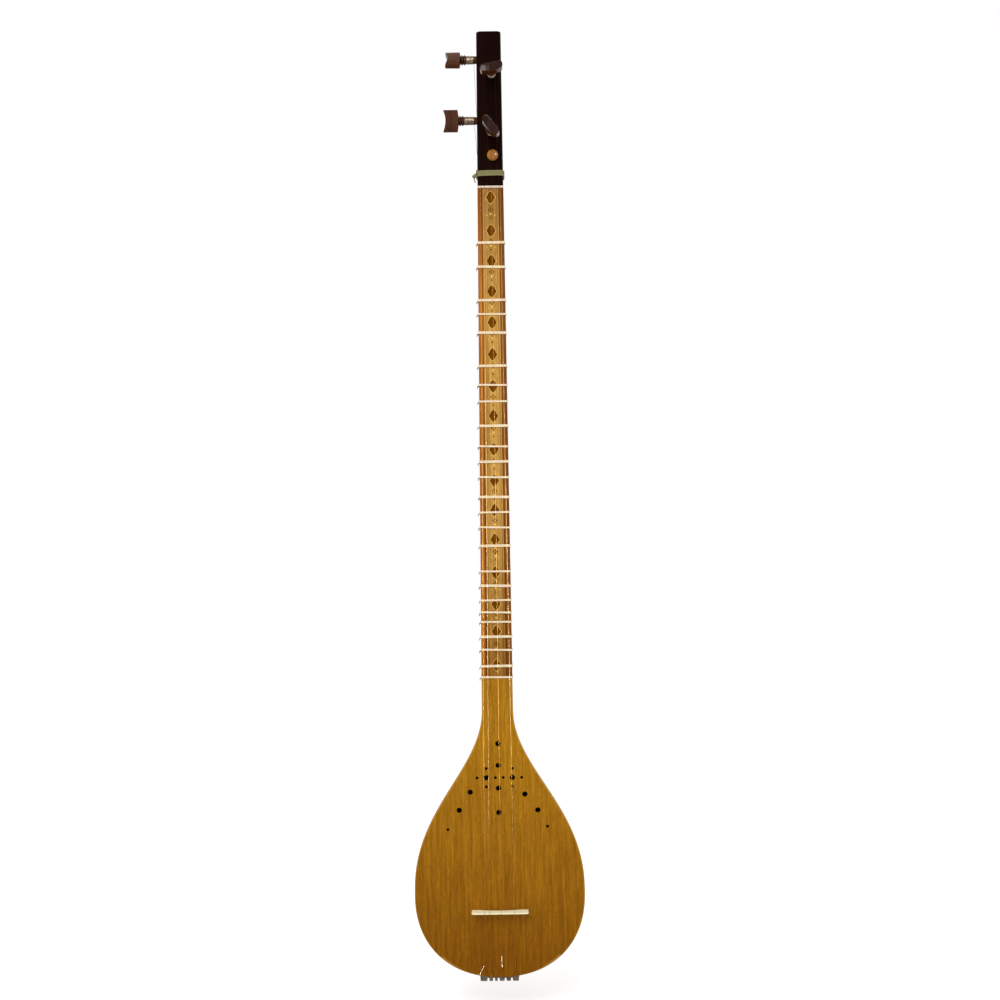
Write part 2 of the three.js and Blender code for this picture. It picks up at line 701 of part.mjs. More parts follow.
function peg(name) {
  const { span } = pegPlace(PEGS[name]);
  const { exposed } = PEGS[name];
  const tip = SHANK_SHORT_OF_BACK - span;
  const collar = exposed + COLLAR_LENGTH;
  const end = collar + COLLAR_LENGTH;
  const profile = [
    [0, tip],
    [shankRadius(tip), tip],
    [shankRadius(exposed), exposed],
    [COLLAR_RADIUS, exposed + COLLAR_LENGTH / 2],
    [SHANK_RADIUS, collar],
    [COLLAR_RADIUS, collar + COLLAR_LENGTH / 2],
    [SHANK_RADIUS, end],
    [SHANK_RADIUS, end + COLLAR_LENGTH / 2],
    [0, end + COLLAR_LENGTH / 2],
  ].map(([r, z]) => new THREE.Vector2(r, z));
  const shank = new THREE.LatheGeometry(profile, SHANK_SIDES).rotateX(Math.PI / 2);
  return piece(`peg_${name}`, toGeometry(toSolid(shank).add(pegHandle(end))), "peg");
}

function placedPeg(name) {
  const frame = pegFrame(PEGS[name]);
  const mesh = peg(name);
  mesh.rotation.z = THREE.MathUtils.degToRad(PEGS[name].turn);
  frame.add(mesh, winding(name));
  return frame;
}

// The radius at which a string lies on a shank.
function windingRadius(outward) {
  return shankRadius(outward) + GAP + STRING_RADIUS;
}

// Where the string leaves a peg, and the way it goes there, in the peg's own frame.
function departure(peg) {
  const angle = THREE.MathUtils.degToRad(peg.leaves);
  const radius = windingRadius(WINDING_START);
  const point = new THREE.Vector3(radius * Math.cos(angle), radius * Math.sin(angle), WINDING_START);
  const direction = new THREE.Vector3(-Math.sin(angle), Math.cos(angle), 0).multiplyScalar(peg.sense);
  return { angle, radius, point, direction };
}

// The turns of string on a peg: one unbroken helix that ends straight, where the string leaves it.
function winding(name) {
  const peg = PEGS[name];
  const { angle, point, direction } = departure(peg);
  const points = [point.clone().addScaledVector(direction, 2 * STRING_RADIUS)];
  for (let i = 0; i <= WINDING_TURNS * WINDING_STEPS; i++) {
    const along = WINDING_START + (WINDING_PITCH * i) / WINDING_STEPS;
    const a = angle - (peg.sense * 2 * Math.PI * i) / WINDING_STEPS;
    const radius = windingRadius(along);
    points.push(new THREE.Vector3(radius * Math.cos(a), radius * Math.sin(a), along));
  }
  reportGap(`winding_${name}`, points, STRING_RADIUS, WINDING_STEPS);
  return piece(`winding_${name}`, tube(points, STRING_RADIUS, WINDING_SIDES), "steel");
}

function reportGap(name, points, radius, stepsInTurn) {
  console.log(`${name}: least gap to itself ${leastGap(points, radius, stepsInTurn).toFixed(2)} mm`);
}

// The start of a free string, just outside the circle that the turning winding sweeps.
function stringStart(peg) {
  const { radius, point, direction } = departure(peg);
  const clear = radius + 2 * STRING_RADIUS + GAP;
  const start = point.addScaledVector(direction, Math.sqrt(clear ** 2 - radius ** 2));
  return start.applyMatrix4(pegFrame(peg).matrixWorld);
}

// The height of the soundboard's tail edge beside the centre line.
function tailEdge(across) {
  const share = (Math.abs(across) / BODY_HALF_WIDTH) ** OUTLINE_ROUNDNESS;
  return WIDEST_HEIGHT * (1 - (1 - share) ** (1 / OUTLINE_ROUNDNESS));
}

// A place where a string lies on the front of the head, following its rounded edge.
function onHead(across, height) {
  const above = GAP + STRING_RADIUS;
  const edgeCentre = headHalfWidth(height) - HEAD_FRONT_ROUNDING;
  const past = Math.max(0, Math.abs(across) - edgeCentre);
  const reach = Math.sqrt((HEAD_FRONT_ROUNDING + above) ** 2 - past ** 2);
  return new THREE.Vector3(across, headFront + HEAD_FRONT_ROUNDING - reach, height);
}

function string(name) {
  const { peg, binding, nut: atNut, bridge: atBridge, notch } = STRINGS[name];
  const above = GAP + STRING_RADIUS;
  const bindingMiddle = nutHeight + BINDING_HEIGHT;
  const bindingReach = (BINDING_TURNS * BINDING_PITCH) / 2 + BINDING_CORD_RADIUS;
  const tail = COMB_CENTRE + COMB_NOTCHES[notch];
  const edge = tailEdge(tail);
  const inNotch = COMB_NOTCH_DEPTH - COMB_REACH - above;
  const bend = BRIDGE_HEIGHT - BRIDGE_THICKNESS / 2 - BRIDGE_TRAVEL_TO_TAIL;
  const points = [
    stringStart(PEGS[peg]),
    onHead(binding, bindingMiddle + bindingReach),
    onHead(mix(binding, atNut, 0.5), bindingMiddle - bindingReach),
    new THREE.Vector3(atNut, -NUT_RISE - above, neckTop + GAP),
    new THREE.Vector3(atBridge, -BRIDGE_RISE - above, bend),
    new THREE.Vector3(tail, -above, edge + above),
    new THREE.Vector3(tail, above, inNotch),
    new THREE.Vector3(tail, rimDepth + COMB_THICKNESS + above, inNotch),
  ];
  return piece(`string_${name}`, tube(points, STRING_RADIUS, STRING_SIDES), "steel");
}

// The cord that holds the strings down: one unbroken winding round the head, over the strings.
function stringBinding() {
  const sides = 4 * (CORNER_FACETS + 1);
  const count = BINDING_TURNS * sides;
  const bottom = nutHeight + BINDING_HEIGHT - (BINDING_TURNS * BINDING_PITCH) / 2;
  const points = Array.from({ length: count + 1 }, (_, i) => {
    const height = bottom + (BINDING_PITCH * i) / sides;
    const ring = headRing(height, GAP + BINDING_CORD_RADIUS, underString + BINDING_CORD_RADIUS);
    return ring[(i + sides / 2) % sides];
  });
  reportGap("string_binding", points, BINDING_CORD_RADIUS, sides);
  return piece("string_binding", tube(points, BINDING_CORD_RADIUS, CORD_SIDES), "cord");
}

// The round-headed pin that the front pegs' strings run past, just under its head.
function guidePin() {
  const profile = [
    new THREE.Vector2(0, -PIN_DEPTH),
    new THREE.Vector2(PIN_SHANK_RADIUS, -PIN_DEPTH),
    new THREE.Vector2(PIN_SHANK_RADIUS, underString),
    ...PIN_DOME.map(({ across, up }) => {
      return new THREE.Vector2(PIN_HEAD_RADIUS * across, underString + PIN_HEAD_RISE * up);
    }),
  ];
  const geometry = toGeometry(toSolid(new THREE.LatheGeometry(profile, ROUND_SIDES)));
  const mesh = piece("guide_pin", geometry, "pin");
  mesh.rotation.x = Math.PI;
  mesh.position.set(PIN_ACROSS, headFront, nutHeight + PIN_HEIGHT);
  return mesh;
}

const instrument = new THREE.Group();
instrument.add(soundboard(), tailBlock(), neckBlock(), neck(), head(), nut(), bridge(), stringComb());
for (let number = 0; number < RIB_COUNT; number++) instrument.add(rib(number));
instrument.add(...fingerboard());
for (let number = 1; number <= FRET_CENTS.length; number++) instrument.add(fret(number));
for (const name of Object.keys(PEGS)) instrument.add(placedPeg(name));
for (const name of Object.keys(STRINGS)) instrument.add(string(name));
instrument.add(stringBinding(), guidePin());

// The origin: on the flat back of the head, above the pegs.
instrument.position.set(0, -headBack, MOUNT_BELOW_TOP - headTop);

const setar = new THREE.Group();
setar.add(instrument);
export default setar;
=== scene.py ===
import math

import bmesh
import bpy
import numpy as np
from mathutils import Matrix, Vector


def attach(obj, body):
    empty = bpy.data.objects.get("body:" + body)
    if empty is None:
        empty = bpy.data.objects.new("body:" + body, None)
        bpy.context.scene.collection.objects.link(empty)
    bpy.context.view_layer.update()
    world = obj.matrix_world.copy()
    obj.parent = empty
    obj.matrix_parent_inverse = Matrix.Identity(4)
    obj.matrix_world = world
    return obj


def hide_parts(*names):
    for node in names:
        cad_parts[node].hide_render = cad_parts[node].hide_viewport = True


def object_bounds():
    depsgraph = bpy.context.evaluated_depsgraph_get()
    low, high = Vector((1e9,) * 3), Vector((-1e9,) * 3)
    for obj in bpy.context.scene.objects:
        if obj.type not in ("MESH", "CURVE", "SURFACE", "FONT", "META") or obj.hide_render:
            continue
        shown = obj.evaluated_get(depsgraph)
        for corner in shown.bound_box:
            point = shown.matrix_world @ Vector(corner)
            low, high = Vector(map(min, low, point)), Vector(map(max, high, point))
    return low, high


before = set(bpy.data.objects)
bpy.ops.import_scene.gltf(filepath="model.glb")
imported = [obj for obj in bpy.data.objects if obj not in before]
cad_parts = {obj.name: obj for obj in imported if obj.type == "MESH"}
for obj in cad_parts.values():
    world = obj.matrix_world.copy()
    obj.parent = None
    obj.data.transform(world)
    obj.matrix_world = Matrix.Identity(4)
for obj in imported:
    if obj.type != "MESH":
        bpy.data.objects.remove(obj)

cad_box = [list(corner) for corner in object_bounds()]

# The view: the instrument hangs in front of a plain white background and is seen square from the
# front, from 1.4 m away, leaning a little to the left in the picture.
VIEW_DISTANCE = 1.4
VIEW_WIDTH = 0.917
VIEW_LEAN = 0.775
VIEW_CENTRE = (0.00497, -0.024, -0.414)
SENSOR_WIDTH = 36.0

scene = bpy.context.scene
scene.view_settings.view_transform = "Standard"


def placed(name, data):
    """A new object in the scene, which holds a camera, a lamp or a mesh."""
    made = bpy.data.objects.new(name, data)
    scene.collection.objects.link(made)
    return made


camera = placed("camera", bpy.data.cameras.new("camera"))
scene.camera = camera
camera.data.sensor_fit = "HORIZONTAL"
camera.data.sensor_width = SENSOR_WIDTH
camera.data.lens = SENSOR_WIDTH * VIEW_DISTANCE / VIEW_WIDTH
camera.location = (VIEW_CENTRE[0], VIEW_CENTRE[1] - VIEW_DISTANCE, VIEW_CENTRE[2])
camera.rotation_euler = (math.radians(90), math.radians(VIEW_LEAN), 0)


def add_node(tree, kind, inputs=None, **settings):
    """Adds a node, sets its properties, and gives each input a value or joins it to an output."""
    made = tree.nodes.new("ShaderNode" + kind)
    for key, value in settings.items():
        setattr(made, key, value)
    for key, value in (inputs or {}).items():
        if isinstance(value, bpy.types.NodeSocket):
            tree.links.new(value, made.inputs[key])
        else:
            made.inputs[key].default_value = value
    return made


def blank_material(name):
    """A new material and its node tree, which is empty."""
    material = bpy.data.materials.new(name)
    material.use_nodes = True
    material.node_tree.nodes.clear()
    return material, material.node_tree


# The studio: a soft white room, a large soft lamp high in front and a weak one far round on the right. Two
# more lamps are seen as glints alone: the low one on the strings, the high one on the pegs and the pin.
# The background and the floor look white to the camera, and the floor keeps a faint shadow.
ROOM_LEVEL = 0.5
WHITE = (1, 1, 1, 1)
LAMPS = {
    "lamp_main": {"place": (-0.5, -1.45, 0.75), "aim": -0.5, "size": 1.2, "watts": 23.0, "glints": False},
    "lamp_low": {"place": (-0.85, -1.55, -0.69), "aim": -0.5, "size": 1.0, "watts": 150.0, "glints": True},
    "lamp_high": {"place": (1.0, -1.2, 0.39), "aim": -0.05, "size": 0.7, "watts": 26.0, "glints": True},
    "lamp_side": {"place": (1.5, -0.8, 0.05), "aim": -0.3, "size": 0.5, "watts": 4.0, "glints": False},
}
FLOOR_DROP = 0.03
FLOOR_HALF = 6.0
FLOOR_GREY = (0.85, 0.85, 0.85, 1)
FLOOR_LIFT = 0.6

world = bpy.data.worlds.new("room")
scene.world = world
world.use_nodes = True
sky = world.node_tree
sky.nodes.clear()
path = add_node(sky, "LightPath")
seen = path.outputs["Is Camera Ray"]
for ray in ("Is Glossy Ray", "Is Transmission Ray"):
    seen = add_node(sky, "Math", {0: seen, 1: path.outputs[ray]}, operation="MAXIMUM").outputs[0]
levels = (ROOM_LEVEL, 1.0)
dim, bright = [add_node(sky, "Background", {"Color": WHITE, "Strength": level}) for level in levels]
either = add_node(sky, "MixShader", {0: seen, 1: dim.outputs[0], 2: bright.outputs[0]})
add_node(sky, "OutputWorld", {"Surface": either.outputs[0]})

for name, lamp in LAMPS.items():
    light = bpy.data.lights.new(name, "AREA")
    light.shape = "SQUARE"
    light.size = lamp["size"]
    light.energy = lamp["watts"]
    holder = placed(name, light)
    holder.location = lamp["place"]
    holder.visible_diffuse = not lamp["glints"]
    holder.visible_glossy = lamp["glints"]
    if lamp["glints"]:
        holder.light_linking.receiver_collection = bpy.data.collections.new(name)
    x, y, z = np.array([0, 0, lamp["aim"]]) - np.array(lamp["place"])
    holder.rotation_euler = (math.atan2(math.hypot(x, y), -z), 0, math.atan2(y, x) - math.pi / 2)

floor_mesh = bpy.data.meshes.new("floor")
floor_level = cad_box[0][2] - FLOOR_DROP
corners = [(FLOOR_HALF * x, FLOOR_HALF * y, floor_level) for x, y in ((-1, -1), (1, -1), (1, 1), (-1, 1))]
floor_mesh.from_pydata(corners, [], [(0, 1, 2, 3)])
floor = placed("floor", floor_mesh)
floor_paint, paint = blank_material("floor")
path = add_node(paint, "LightPath")
lift = add_node(paint, "Math", {0: path.outputs["Is Camera Ray"], 1: FLOOR_LIFT}, operation="MULTIPLY")
matt = add_node(paint, "BsdfDiffuse", {"Color": FLOOR_GREY})
glow = add_node(paint, "Emission", {"Color": WHITE, "Strength": lift.outputs[0]})
both = add_node(paint, "AddShader", {0: matt.outputs[0], 1: glow.outputs[0]})
add_node(paint, "OutputMaterial", {"Surface": both.outputs[0]})
floor_mesh.materials.append(floor_paint)


# The soundboard: one thin plate of mulberry, oiled and rubbed smooth, sawn to a pear outline. Its front edge
# is rounded over. Small sound holes are drilled through it: four in line, two rings and two slanting arms.
# Lengths are millimetres: across from the centre line, back from the board's face, up from the tail.
FACE_DEPTH = 24.0
TAIL_TO_ORIGIN = 851.6
METRES = 0.001
BODY_HALF_WIDTH = 78.15
WIDEST_HEIGHT = 76.5
OUTLINE_ROUNDNESS = 2.22
OUTLINE_TAIL = (BODY_HALF_WIDTH, WIDEST_HEIGHT, OUTLINE_ROUNDNESS)
SHOULDER_HEIGHT = 244.33
SHOULDER_LEAN = 1.19
NECK_HALF_WIDTH = (14.4, 11.9)
NUT_HEIGHT = 724.8
BOARD_TOP = 274.9
BOARD_THICKNESS = 2.5
BOARD_ROUNDING = 0.8
TONGUE_LEVELS = (250.0, 262.0, BOARD_TOP)
SPINE_FOOT = 45
SPINE_LENGTH = 205
EDGE_BAND = 3.0
EDGE_LINE = 1.2
LARGE_HOLE = 2.5
SMALL_HOLE = 1.4
HOLE_RING = 8.4
HOLE_RING_HEIGHT = 183.0
HOLE_RING_CENTRES = (-11.1, 12.9)
CROSS = ((1, 0), (0, 1), (-1, 0), (0, -1))
SOUND_HOLES = [
    (0, 214.2, LARGE_HOLE), (0, 194.2, LARGE_HOLE), (0, 173.3, LARGE_HOLE), (0, 151.0, LARGE_HOLE),
    (-25.9, 169.9, LARGE_HOLE), (24.1, 167.6, LARGE_HOLE), (-36.2, 153.5, LARGE_HOLE),
    (35.9, 152.9, LARGE_HOLE), (-46.9, 135.9, SMALL_HOLE), (44.5, 137.8, SMALL_HOLE),
]
for across in HOLE_RING_CENTRES:
    SOUND_HOLES.append((across, HOLE_RING_HEIGHT, LARGE_HOLE))
    SOUND_HOLES += [(across + HOLE_RING * dx, HOLE_RING_HEIGHT + HOLE_RING * dz, SMALL_HOLE)
                    for dx, dz in CROSS]
SMOOTH_UP_TO = 35.0
MERGE_WITHIN = 2e-6
SLIVER = 1e-6

# The pale line along the board's front edge, a painted highlight on its rounding: how far in it lies, how
# far it spreads, how far back it goes, how strong it is, and the height below which it is spread out along
# the tail.
HIGHLIGHT_MIDDLE = 0.4
HIGHLIGHT_REACH = 0.8
HIGHLIGHT_DEPTH = 1.2
HIGHLIGHT_MOST = 0.7
HIGHLIGHT_TAIL = 20
HIGHLIGHT_TAIL_SPREAD = 0.4

# Grain of wood, in cycles to the metre across it and along it, the shade that fibres and flecks give,
# the tone of end grain, and how squarely a surface has to look along the grain to show it.
BANDS_ALONG = 4.0
PATCHES = (16.0, 5.0)
STREAKS = (640.0, 8.0)
FIBRES = (1700.0, 26.0)
FLECKS = (1100.0, 170.0)
PORES = (2300.0, 190.0)
FIBRE_SHADE = 0.12
END_GRAIN = (0.36, 0.3, 0.27, 1.0)
END_GRAIN_FACING = (0.7, 0.9)


def pear(height, full, full_height, roundness, end, lean):
    """A rounded tail, full * (1 - (1 - h / full_height)^r)^(1/r), then a cosine shoulder down to end."""
    rest = np.clip(1 - height / full_height, 0, 1)
    tail = full * (1 - rest ** roundness) ** (1 / roundness)
    t = np.clip((height - full_height) / (SHOULDER_HEIGHT - full_height), 0, 1)
    shoulder = end + (full - end) * (1 + np.cos(np.pi * t ** lean)) / 2
    return np.where(height <= full_height, tail, shoulder)


def tapered(height, ends):
    """A size along the neck that runs straight from ends[0] at the body to ends[1] at the nut."""
    t = (height - SHOULDER_HEIGHT) / (NUT_HEIGHT - SHOULDER_HEIGHT)
    return ends[0] + (ends[1] - ends[0]) * np.clip(t, 0, 1.1)


def half_width(height):
    """The outline's half width: the pear shape up to the shoulder, the neck's taper above it."""
    body = pear(height, *OUTLINE_TAIL, NECK_HALF_WIDTH[0], SHOULDER_LEAN)
    return np.where(height > SHOULDER_HEIGHT, tapered(height, NECK_HALF_WIDTH), body)


def unit(v):
    """Each vector of an array divided by its own length."""
    return v / np.maximum(np.linalg.norm(v, axis=-1, keepdims=True), 1e-12)


def stack(*columns):
    """Arrays of single numbers joined into an array of points."""
    return np.stack(np.broadcast_arrays(*columns), axis=-1).astype(float)


def lofted(rings):
    """Rings of equal length joined by quads, with a flat face on each end, facing outwards."""
    count, sides = rings.shape[:2]
    r, s = np.meshgrid(np.arange(count - 1), np.arange(sides), indexing="ij")
    a, b = r * sides + s, r * sides + (s + 1) % sides
    quads = np.stack([a, b, b + sides, a + sides], axis=-1).reshape(-1, 4)
    points = rings.reshape(-1, 3)
    p = points - points.mean(axis=0)
    fan = [np.sum(p[quads[:, 0]] * np.cross(p[quads[:, i]], p[quads[:, i + 1]])) for i in (1, 2)]
    ends = [np.arange(sides)[::-1], (count - 1) * sides + np.arange(sides)]
    for end in ends:
        first = np.broadcast_to(p[end[0]], (sides - 2, 3))
        fan.append(np.sum(first * np.cross(p[end[1:-1]], p[end[2:]])))
    faces = quads.tolist() + [end.tolist() for end in ends]
    if sum(fan) < 0:
        faces = [face[::-1] for face in faces]
    return points, faces


def joined(parts):
    """Several lists of points and faces as one."""
    points, faces, offset = [], [], 0
    for part_points, part_faces in parts:
        points.append(part_points)
        faces += [[i + offset for i in face] for face in part_faces]
        offset += len(part_points)
    return np.concatenate(points), faces


def framed(name, shape):
    """A mesh of points and faces. The points are millimetres across, back and up from the tail, and become
    metres in the frame of the whole part."""
    points, faces = shape
    mesh = bpy.data.meshes.new(name)
    mesh.from_pydata(((points - (0, FACE_DEPTH, TAIL_TO_ORIGIN)) * METRES).tolist(), [], faces)
    return mesh


def smoothed(mesh, sharp=SMOOTH_UP_TO):
    """Shades a mesh smooth, except where its faces meet at more than this angle."""
    mesh.polygons.foreach_set("use_smooth", [True] * len(mesh.polygons))
    mesh.set_sharp_from_angle(angle=math.radians(sharp))


def new_piece(name, shape, body, material, replaced=(), sharp=SMOOTH_UP_TO, uv=None, glints=None):
    """Makes a smooth shaded mesh in the frame, rides it on its body and hides the parts that it replaces. A
    lamp named in glints shines on it."""
    mesh = framed(name, shape)
    smoothed(mesh, sharp)
    if uv is not None:
        corners = np.empty(len(mesh.loops), dtype=np.int32)
        mesh.loops.foreach_get("vertex_index", corners)
        mesh.uv_layers.new(name="grain").data.foreach_set("uv", (uv * METRES)[corners].ravel())
    mesh.materials.append(material)
    piece = placed(name, mesh)
    if glints:
        bpy.data.collections[glints].objects.link(piece)
    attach(piece, body)
    if replaced:
        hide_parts(*replaced)
    return piece


def linear(tone):
    """A screen colour, 0 to 255, as the linear colour that a shader takes."""
    c = np.array(tone) / 255
    return (*np.where(c <= 0.04045, c / 12.92, ((c + 0.055) / 1.055) ** 2.4), 1.0)


def mixed(tree, factor, first, second, how="MIX"):
    """A colour blended from two, by a number or an output."""
    made = add_node(tree, "Mix", {0: factor, 6: first, 7: second}, data_type="RGBA", blend_type=how)
    return made.outputs[2]


def multiplied(tree, colour, by):
    """A colour times a second colour, or times a number that a node gives."""
    if isinstance(by, bpy.types.NodeSocket):
        by = add_node(tree, "CombineColor", {0: by, 1: by, 2: by}).outputs[0]
    return mixed(tree, 1.0, colour, by, "MULTIPLY")


def between(tree, value, low, high, to_low=0.0, to_high=1.0):
    """A number spread from one range to another, and held at its ends."""
    inputs = {0: value, 1: low, 2: high, 3: to_low, 4: to_high}
    return add_node(tree, "MapRange", inputs).outputs[0]


def noise(tree, place, scale, detail, twist=0.0):
    """Noise at one scale, or drawn out by a scale of its own along each axis."""
    if isinstance(scale, tuple):
        place = add_node(tree, "Mapping", {"Vector": place, "Scale": scale}).outputs[0]
        scale = 1.0
    inputs = {"Vector": place, "Scale": scale, "Detail": detail, "Distortion": twist}
    return add_node(tree, "TexNoise", inputs).outputs["Fac"]


def bumped(tree, height, strength, distance):
    """The slopes of a surface that a pattern raises and dents."""
    inputs = {"Strength": strength, "Distance": distance, "Height": height}
    return add_node(tree, "Bump", inputs).outputs[0]


def surfaced(material, inputs):
    """Gives a material its surface."""
    surface = add_node(material.node_tree, "BsdfPrincipled", inputs)
    add_node(material.node_tree, "OutputMaterial", {"Surface": surface.outputs[0]})
    return material


def wood(name, pale, dark, pore, bands=260.0, figure=0.8, streaks=0.18, pores=0.5, rough=0.38, level=0.1,
         uv=False, rim=None, fades=(), end_grain=None, broken=1.0):
    """Wood with the grain upright, or along v of its own map: soft bands between two tones, broad
    patches, streaks, fibres and flecks that shade it and short open pores, which also dent the surface.
    Its tone can change from one height to another, once for each entry of fades, and darkens where the
    surface looks along the direction given as end_grain. Bands and streaks are shorter the higher
    broken is. The tone called rim is a painted highlight along the board's rounded front edge."""
    material, tree = blank_material(name)
    if uv:
        place = add_node(tree, "UVMap", uv_map="grain").outputs[0]
    else:
        place = add_node(tree, "TexCoord").outputs["Object"]

    def grain(across, along, detail, twist=0.0):
        scale = (across, along, 1) if uv else (across, across, along)
        return noise(tree, place, scale, detail, twist)

    band = between(tree, grain(bands, BANDS_ALONG * broken, 3.0, 0.3), 0.36, 0.64)
    patch = between(tree, grain(*PATCHES, 2.0), 0.3, 0.7)
    fibre = grain(*FIBRES, 2.0)
    pored = between(tree, grain(*PORES, 1.0), 0.6, 0.7)
    streak, fleck = grain(STREAKS[0], STREAKS[1] * broken, 2.0), grain(*FLECKS, 2.0)
    colour = mixed(tree, band, linear(pale), linear(dark))
    colour = mixed(tree, between(tree, patch, 0, 1, 0, figure), colour, linear(dark))
    for lines, depth in ((streak, streaks), (fibre, FIBRE_SHADE), (fleck, FIBRE_SHADE)):
        colour = multiplied(tree, colour, between(tree, lines, 0.3, 0.7, 1 - depth, 1 + depth))
    colour = mixed(tree, between(tree, pored, 0, 1, 0, pores), colour, linear(pore))
    for near, far, tone in fades:
        height = add_node(tree, "SeparateXYZ", {"Vector": place}).outputs["Z"]
        faded = multiplied(tree, colour, (*tone, 1.0))
        colour = mixed(tree, between(tree, height, near, far), colour, faded)
    if end_grain:
        normal = add_node(tree, "NewGeometry").outputs["Normal"]
        facing = add_node(tree, "VectorMath", {0: normal, 1: end_grain}, operation="DOT_PRODUCT")
        facing = add_node(tree, "Math", {0: facing.outputs["Value"]}, operation="ABSOLUTE").outputs[0]
        ends = between(tree, facing, *END_GRAIN_FACING)
        colour = mixed(tree, ends, colour, multiplied(tree, colour, END_GRAIN))
    # The rim tone is a painted highlight along the board's front edge.
    if rim:
        edge_highlight = add_node(tree, "Attribute", attribute_name="rim").outputs["Fac"]
        colour = mixed(tree, edge_highlight, colour, linear(rim))
    relief = add_node(tree, "Math", {0: fibre, 1: pored}, operation="SUBTRACT").outputs[0]
    return surfaced(material, {
        "Base Color": colour, "Roughness": between(tree, fibre, 0.2, 0.8, rough - 0.06, rough + 0.08),
        "Specular IOR Level": level, "Normal": bumped(tree, relief, 0.35, 0.00008),
    })


def board_shape():
    """The outline swept through an edge profile, then drawn in to a spine on the front and the back."""
    turn = np.linspace(0, np.pi / 2, 44)
    tail = stack(BODY_HALF_WIDTH * np.sin(turn) ** (2 / OUTLINE_ROUNDNESS),
                 WIDEST_HEIGHT * (1 - np.cos(turn) ** (2 / OUTLINE_ROUNDNESS)))
    up = np.concatenate([np.linspace(WIDEST_HEIGHT, SHOULDER_HEIGHT, 60)[1:], TONGUE_LEVELS])
    right = np.concatenate([tail, stack(half_width(up), up)])
    top = stack(np.linspace(right[-1, 0], -right[-1, 0], 7)[1:-1], BOARD_TOP)
    outline = np.concatenate([right, top, right[:0:-1] * (-1, 1)])
    along = unit(np.roll(outline, -1, axis=0) - np.roll(outline, 1, axis=0))
    inward = stack(-along[:, 1], along[:, 0])
    spine = stack(np.zeros(len(outline)), SPINE_FOOT + outline[:, 1] / BOARD_TOP * SPINE_LENGTH)
    bend = np.linspace(0, np.pi / 2, 6)
    rounded = list(zip(BOARD_ROUNDING * (1 - np.cos(bend)), BOARD_ROUNDING * (1 - np.sin(bend))))
    edge = [(EDGE_BAND, BOARD_THICKNESS), (0.0, BOARD_THICKNESS)] + rounded
    edge += [(EDGE_LINE, 0.0), (EDGE_BAND, 0.0)]
    near = outline + inward * EDGE_BAND
    drawn = [near + (spine - near) * t for t in np.linspace(0, 1, 8)[1:]]
    rows = [(p, BOARD_THICKNESS) for p in drawn[::-1]]
    rows += [(outline + inward * o, d) for o, d in edge] + [(p, 0.0) for p in drawn]
    return lofted(np.stack([stack(p[:, 0], d, p[:, 1]) for p, d in rows]))


def disc(radius, sides):
    """A circle as an outline."""
    a = np.linspace(0, 2 * np.pi, sides, endpoint=False)
    return radius * stack(np.cos(a), np.sin(a))


def holes_shape():
    """Upright drills at the sound holes, a millimetre longer than the board is thick at each end."""
    drills = []
    for across, height, radius in SOUND_HOLES:
        x, z = disc(radius, 24).T
        circle = stack(across + x, 0, height + z)
        drills.append(lofted(np.stack([circle + (0, d, 0) for d in (-1, BOARD_THICKNESS + 1)])))
    return joined(drills)


def drilled(piece, cutter_shape):
    """Cuts a shape out of a piece for good."""
    cutter = placed("cutter", framed("cutter", cutter_shape))
    cut = piece.modifiers.new("cut", "BOOLEAN")
    cut.operation = "DIFFERENCE"
    cut.solver = "EXACT"
    cut.object = cutter
    bpy.context.view_layer.update()
    finished = bpy.data.meshes.new_from_object(piece.evaluated_get(bpy.context.evaluated_depsgraph_get()))
    piece.modifiers.remove(cut)
    piece.data = finished
    smoothed(finished)
    bpy.data.meshes.remove(cutter.data)


# The board's first fade darkens it toward the tail: painted shade, for the light falling off down the board.
board_wood = wood(
    "soundboard_mulberry", (187, 134, 29), (169, 115, 20), (112, 66, 10), bands=430.0, figure=0.6,
    streaks=0.13, broken=5.0, level=0.05, pores=0.35, rim=(214, 164, 80),
    fades=[(-0.6, -0.84, (0.54, 0.42, 0.2)), (-0.63, -0.59, (0.86, 0.84, 0.95))],
)
board = new_piece("soundboard_plate", board_shape(), "instrument", board_wood, ["soundboard"])
cleaned = bmesh.new()
cleaned.from_mesh(board.data)
bmesh.ops.remove_doubles(cleaned, verts=cleaned.verts, dist=MERGE_WITHIN)
bmesh.ops.dissolve_degenerate(cleaned, edges=cleaned.edges, dist=SLIVER)
bmesh.ops.recalc_face_normals(cleaned, faces=cleaned.faces)
cleaned.to_mesh(board.data)
cleaned.free()
drilled(board, holes_shape())
points = np.empty(len(board.data.vertices) * 3)
board.data.vertices.foreach_get("co", points)
x, y, z = points.reshape(-1, 3).T / METRES + np.array([[0], [FACE_DEPTH], [TAIL_TO_ORIGIN]])
# The rim mask: a painted highlight along the rounded front edge, spread out along the tail.
from_edge = half_width(z) - abs(x)
from_edge = np.where(z < HIGHLIGHT_TAIL, np.maximum(0, from_edge) * HIGHLIGHT_TAIL_SPREAD, from_edge)
edge_highlight = np.clip(1 - np.abs(from_edge - HIGHLIGHT_MIDDLE) / HIGHLIGHT_REACH, 0, 1) * (y < HIGHLIGHT_DEPTH) * HIGHLIGHT_MOST
board.data.attributes.new("rim", "FLOAT", "POINT").data.foreach_set("value", edge_highlight)


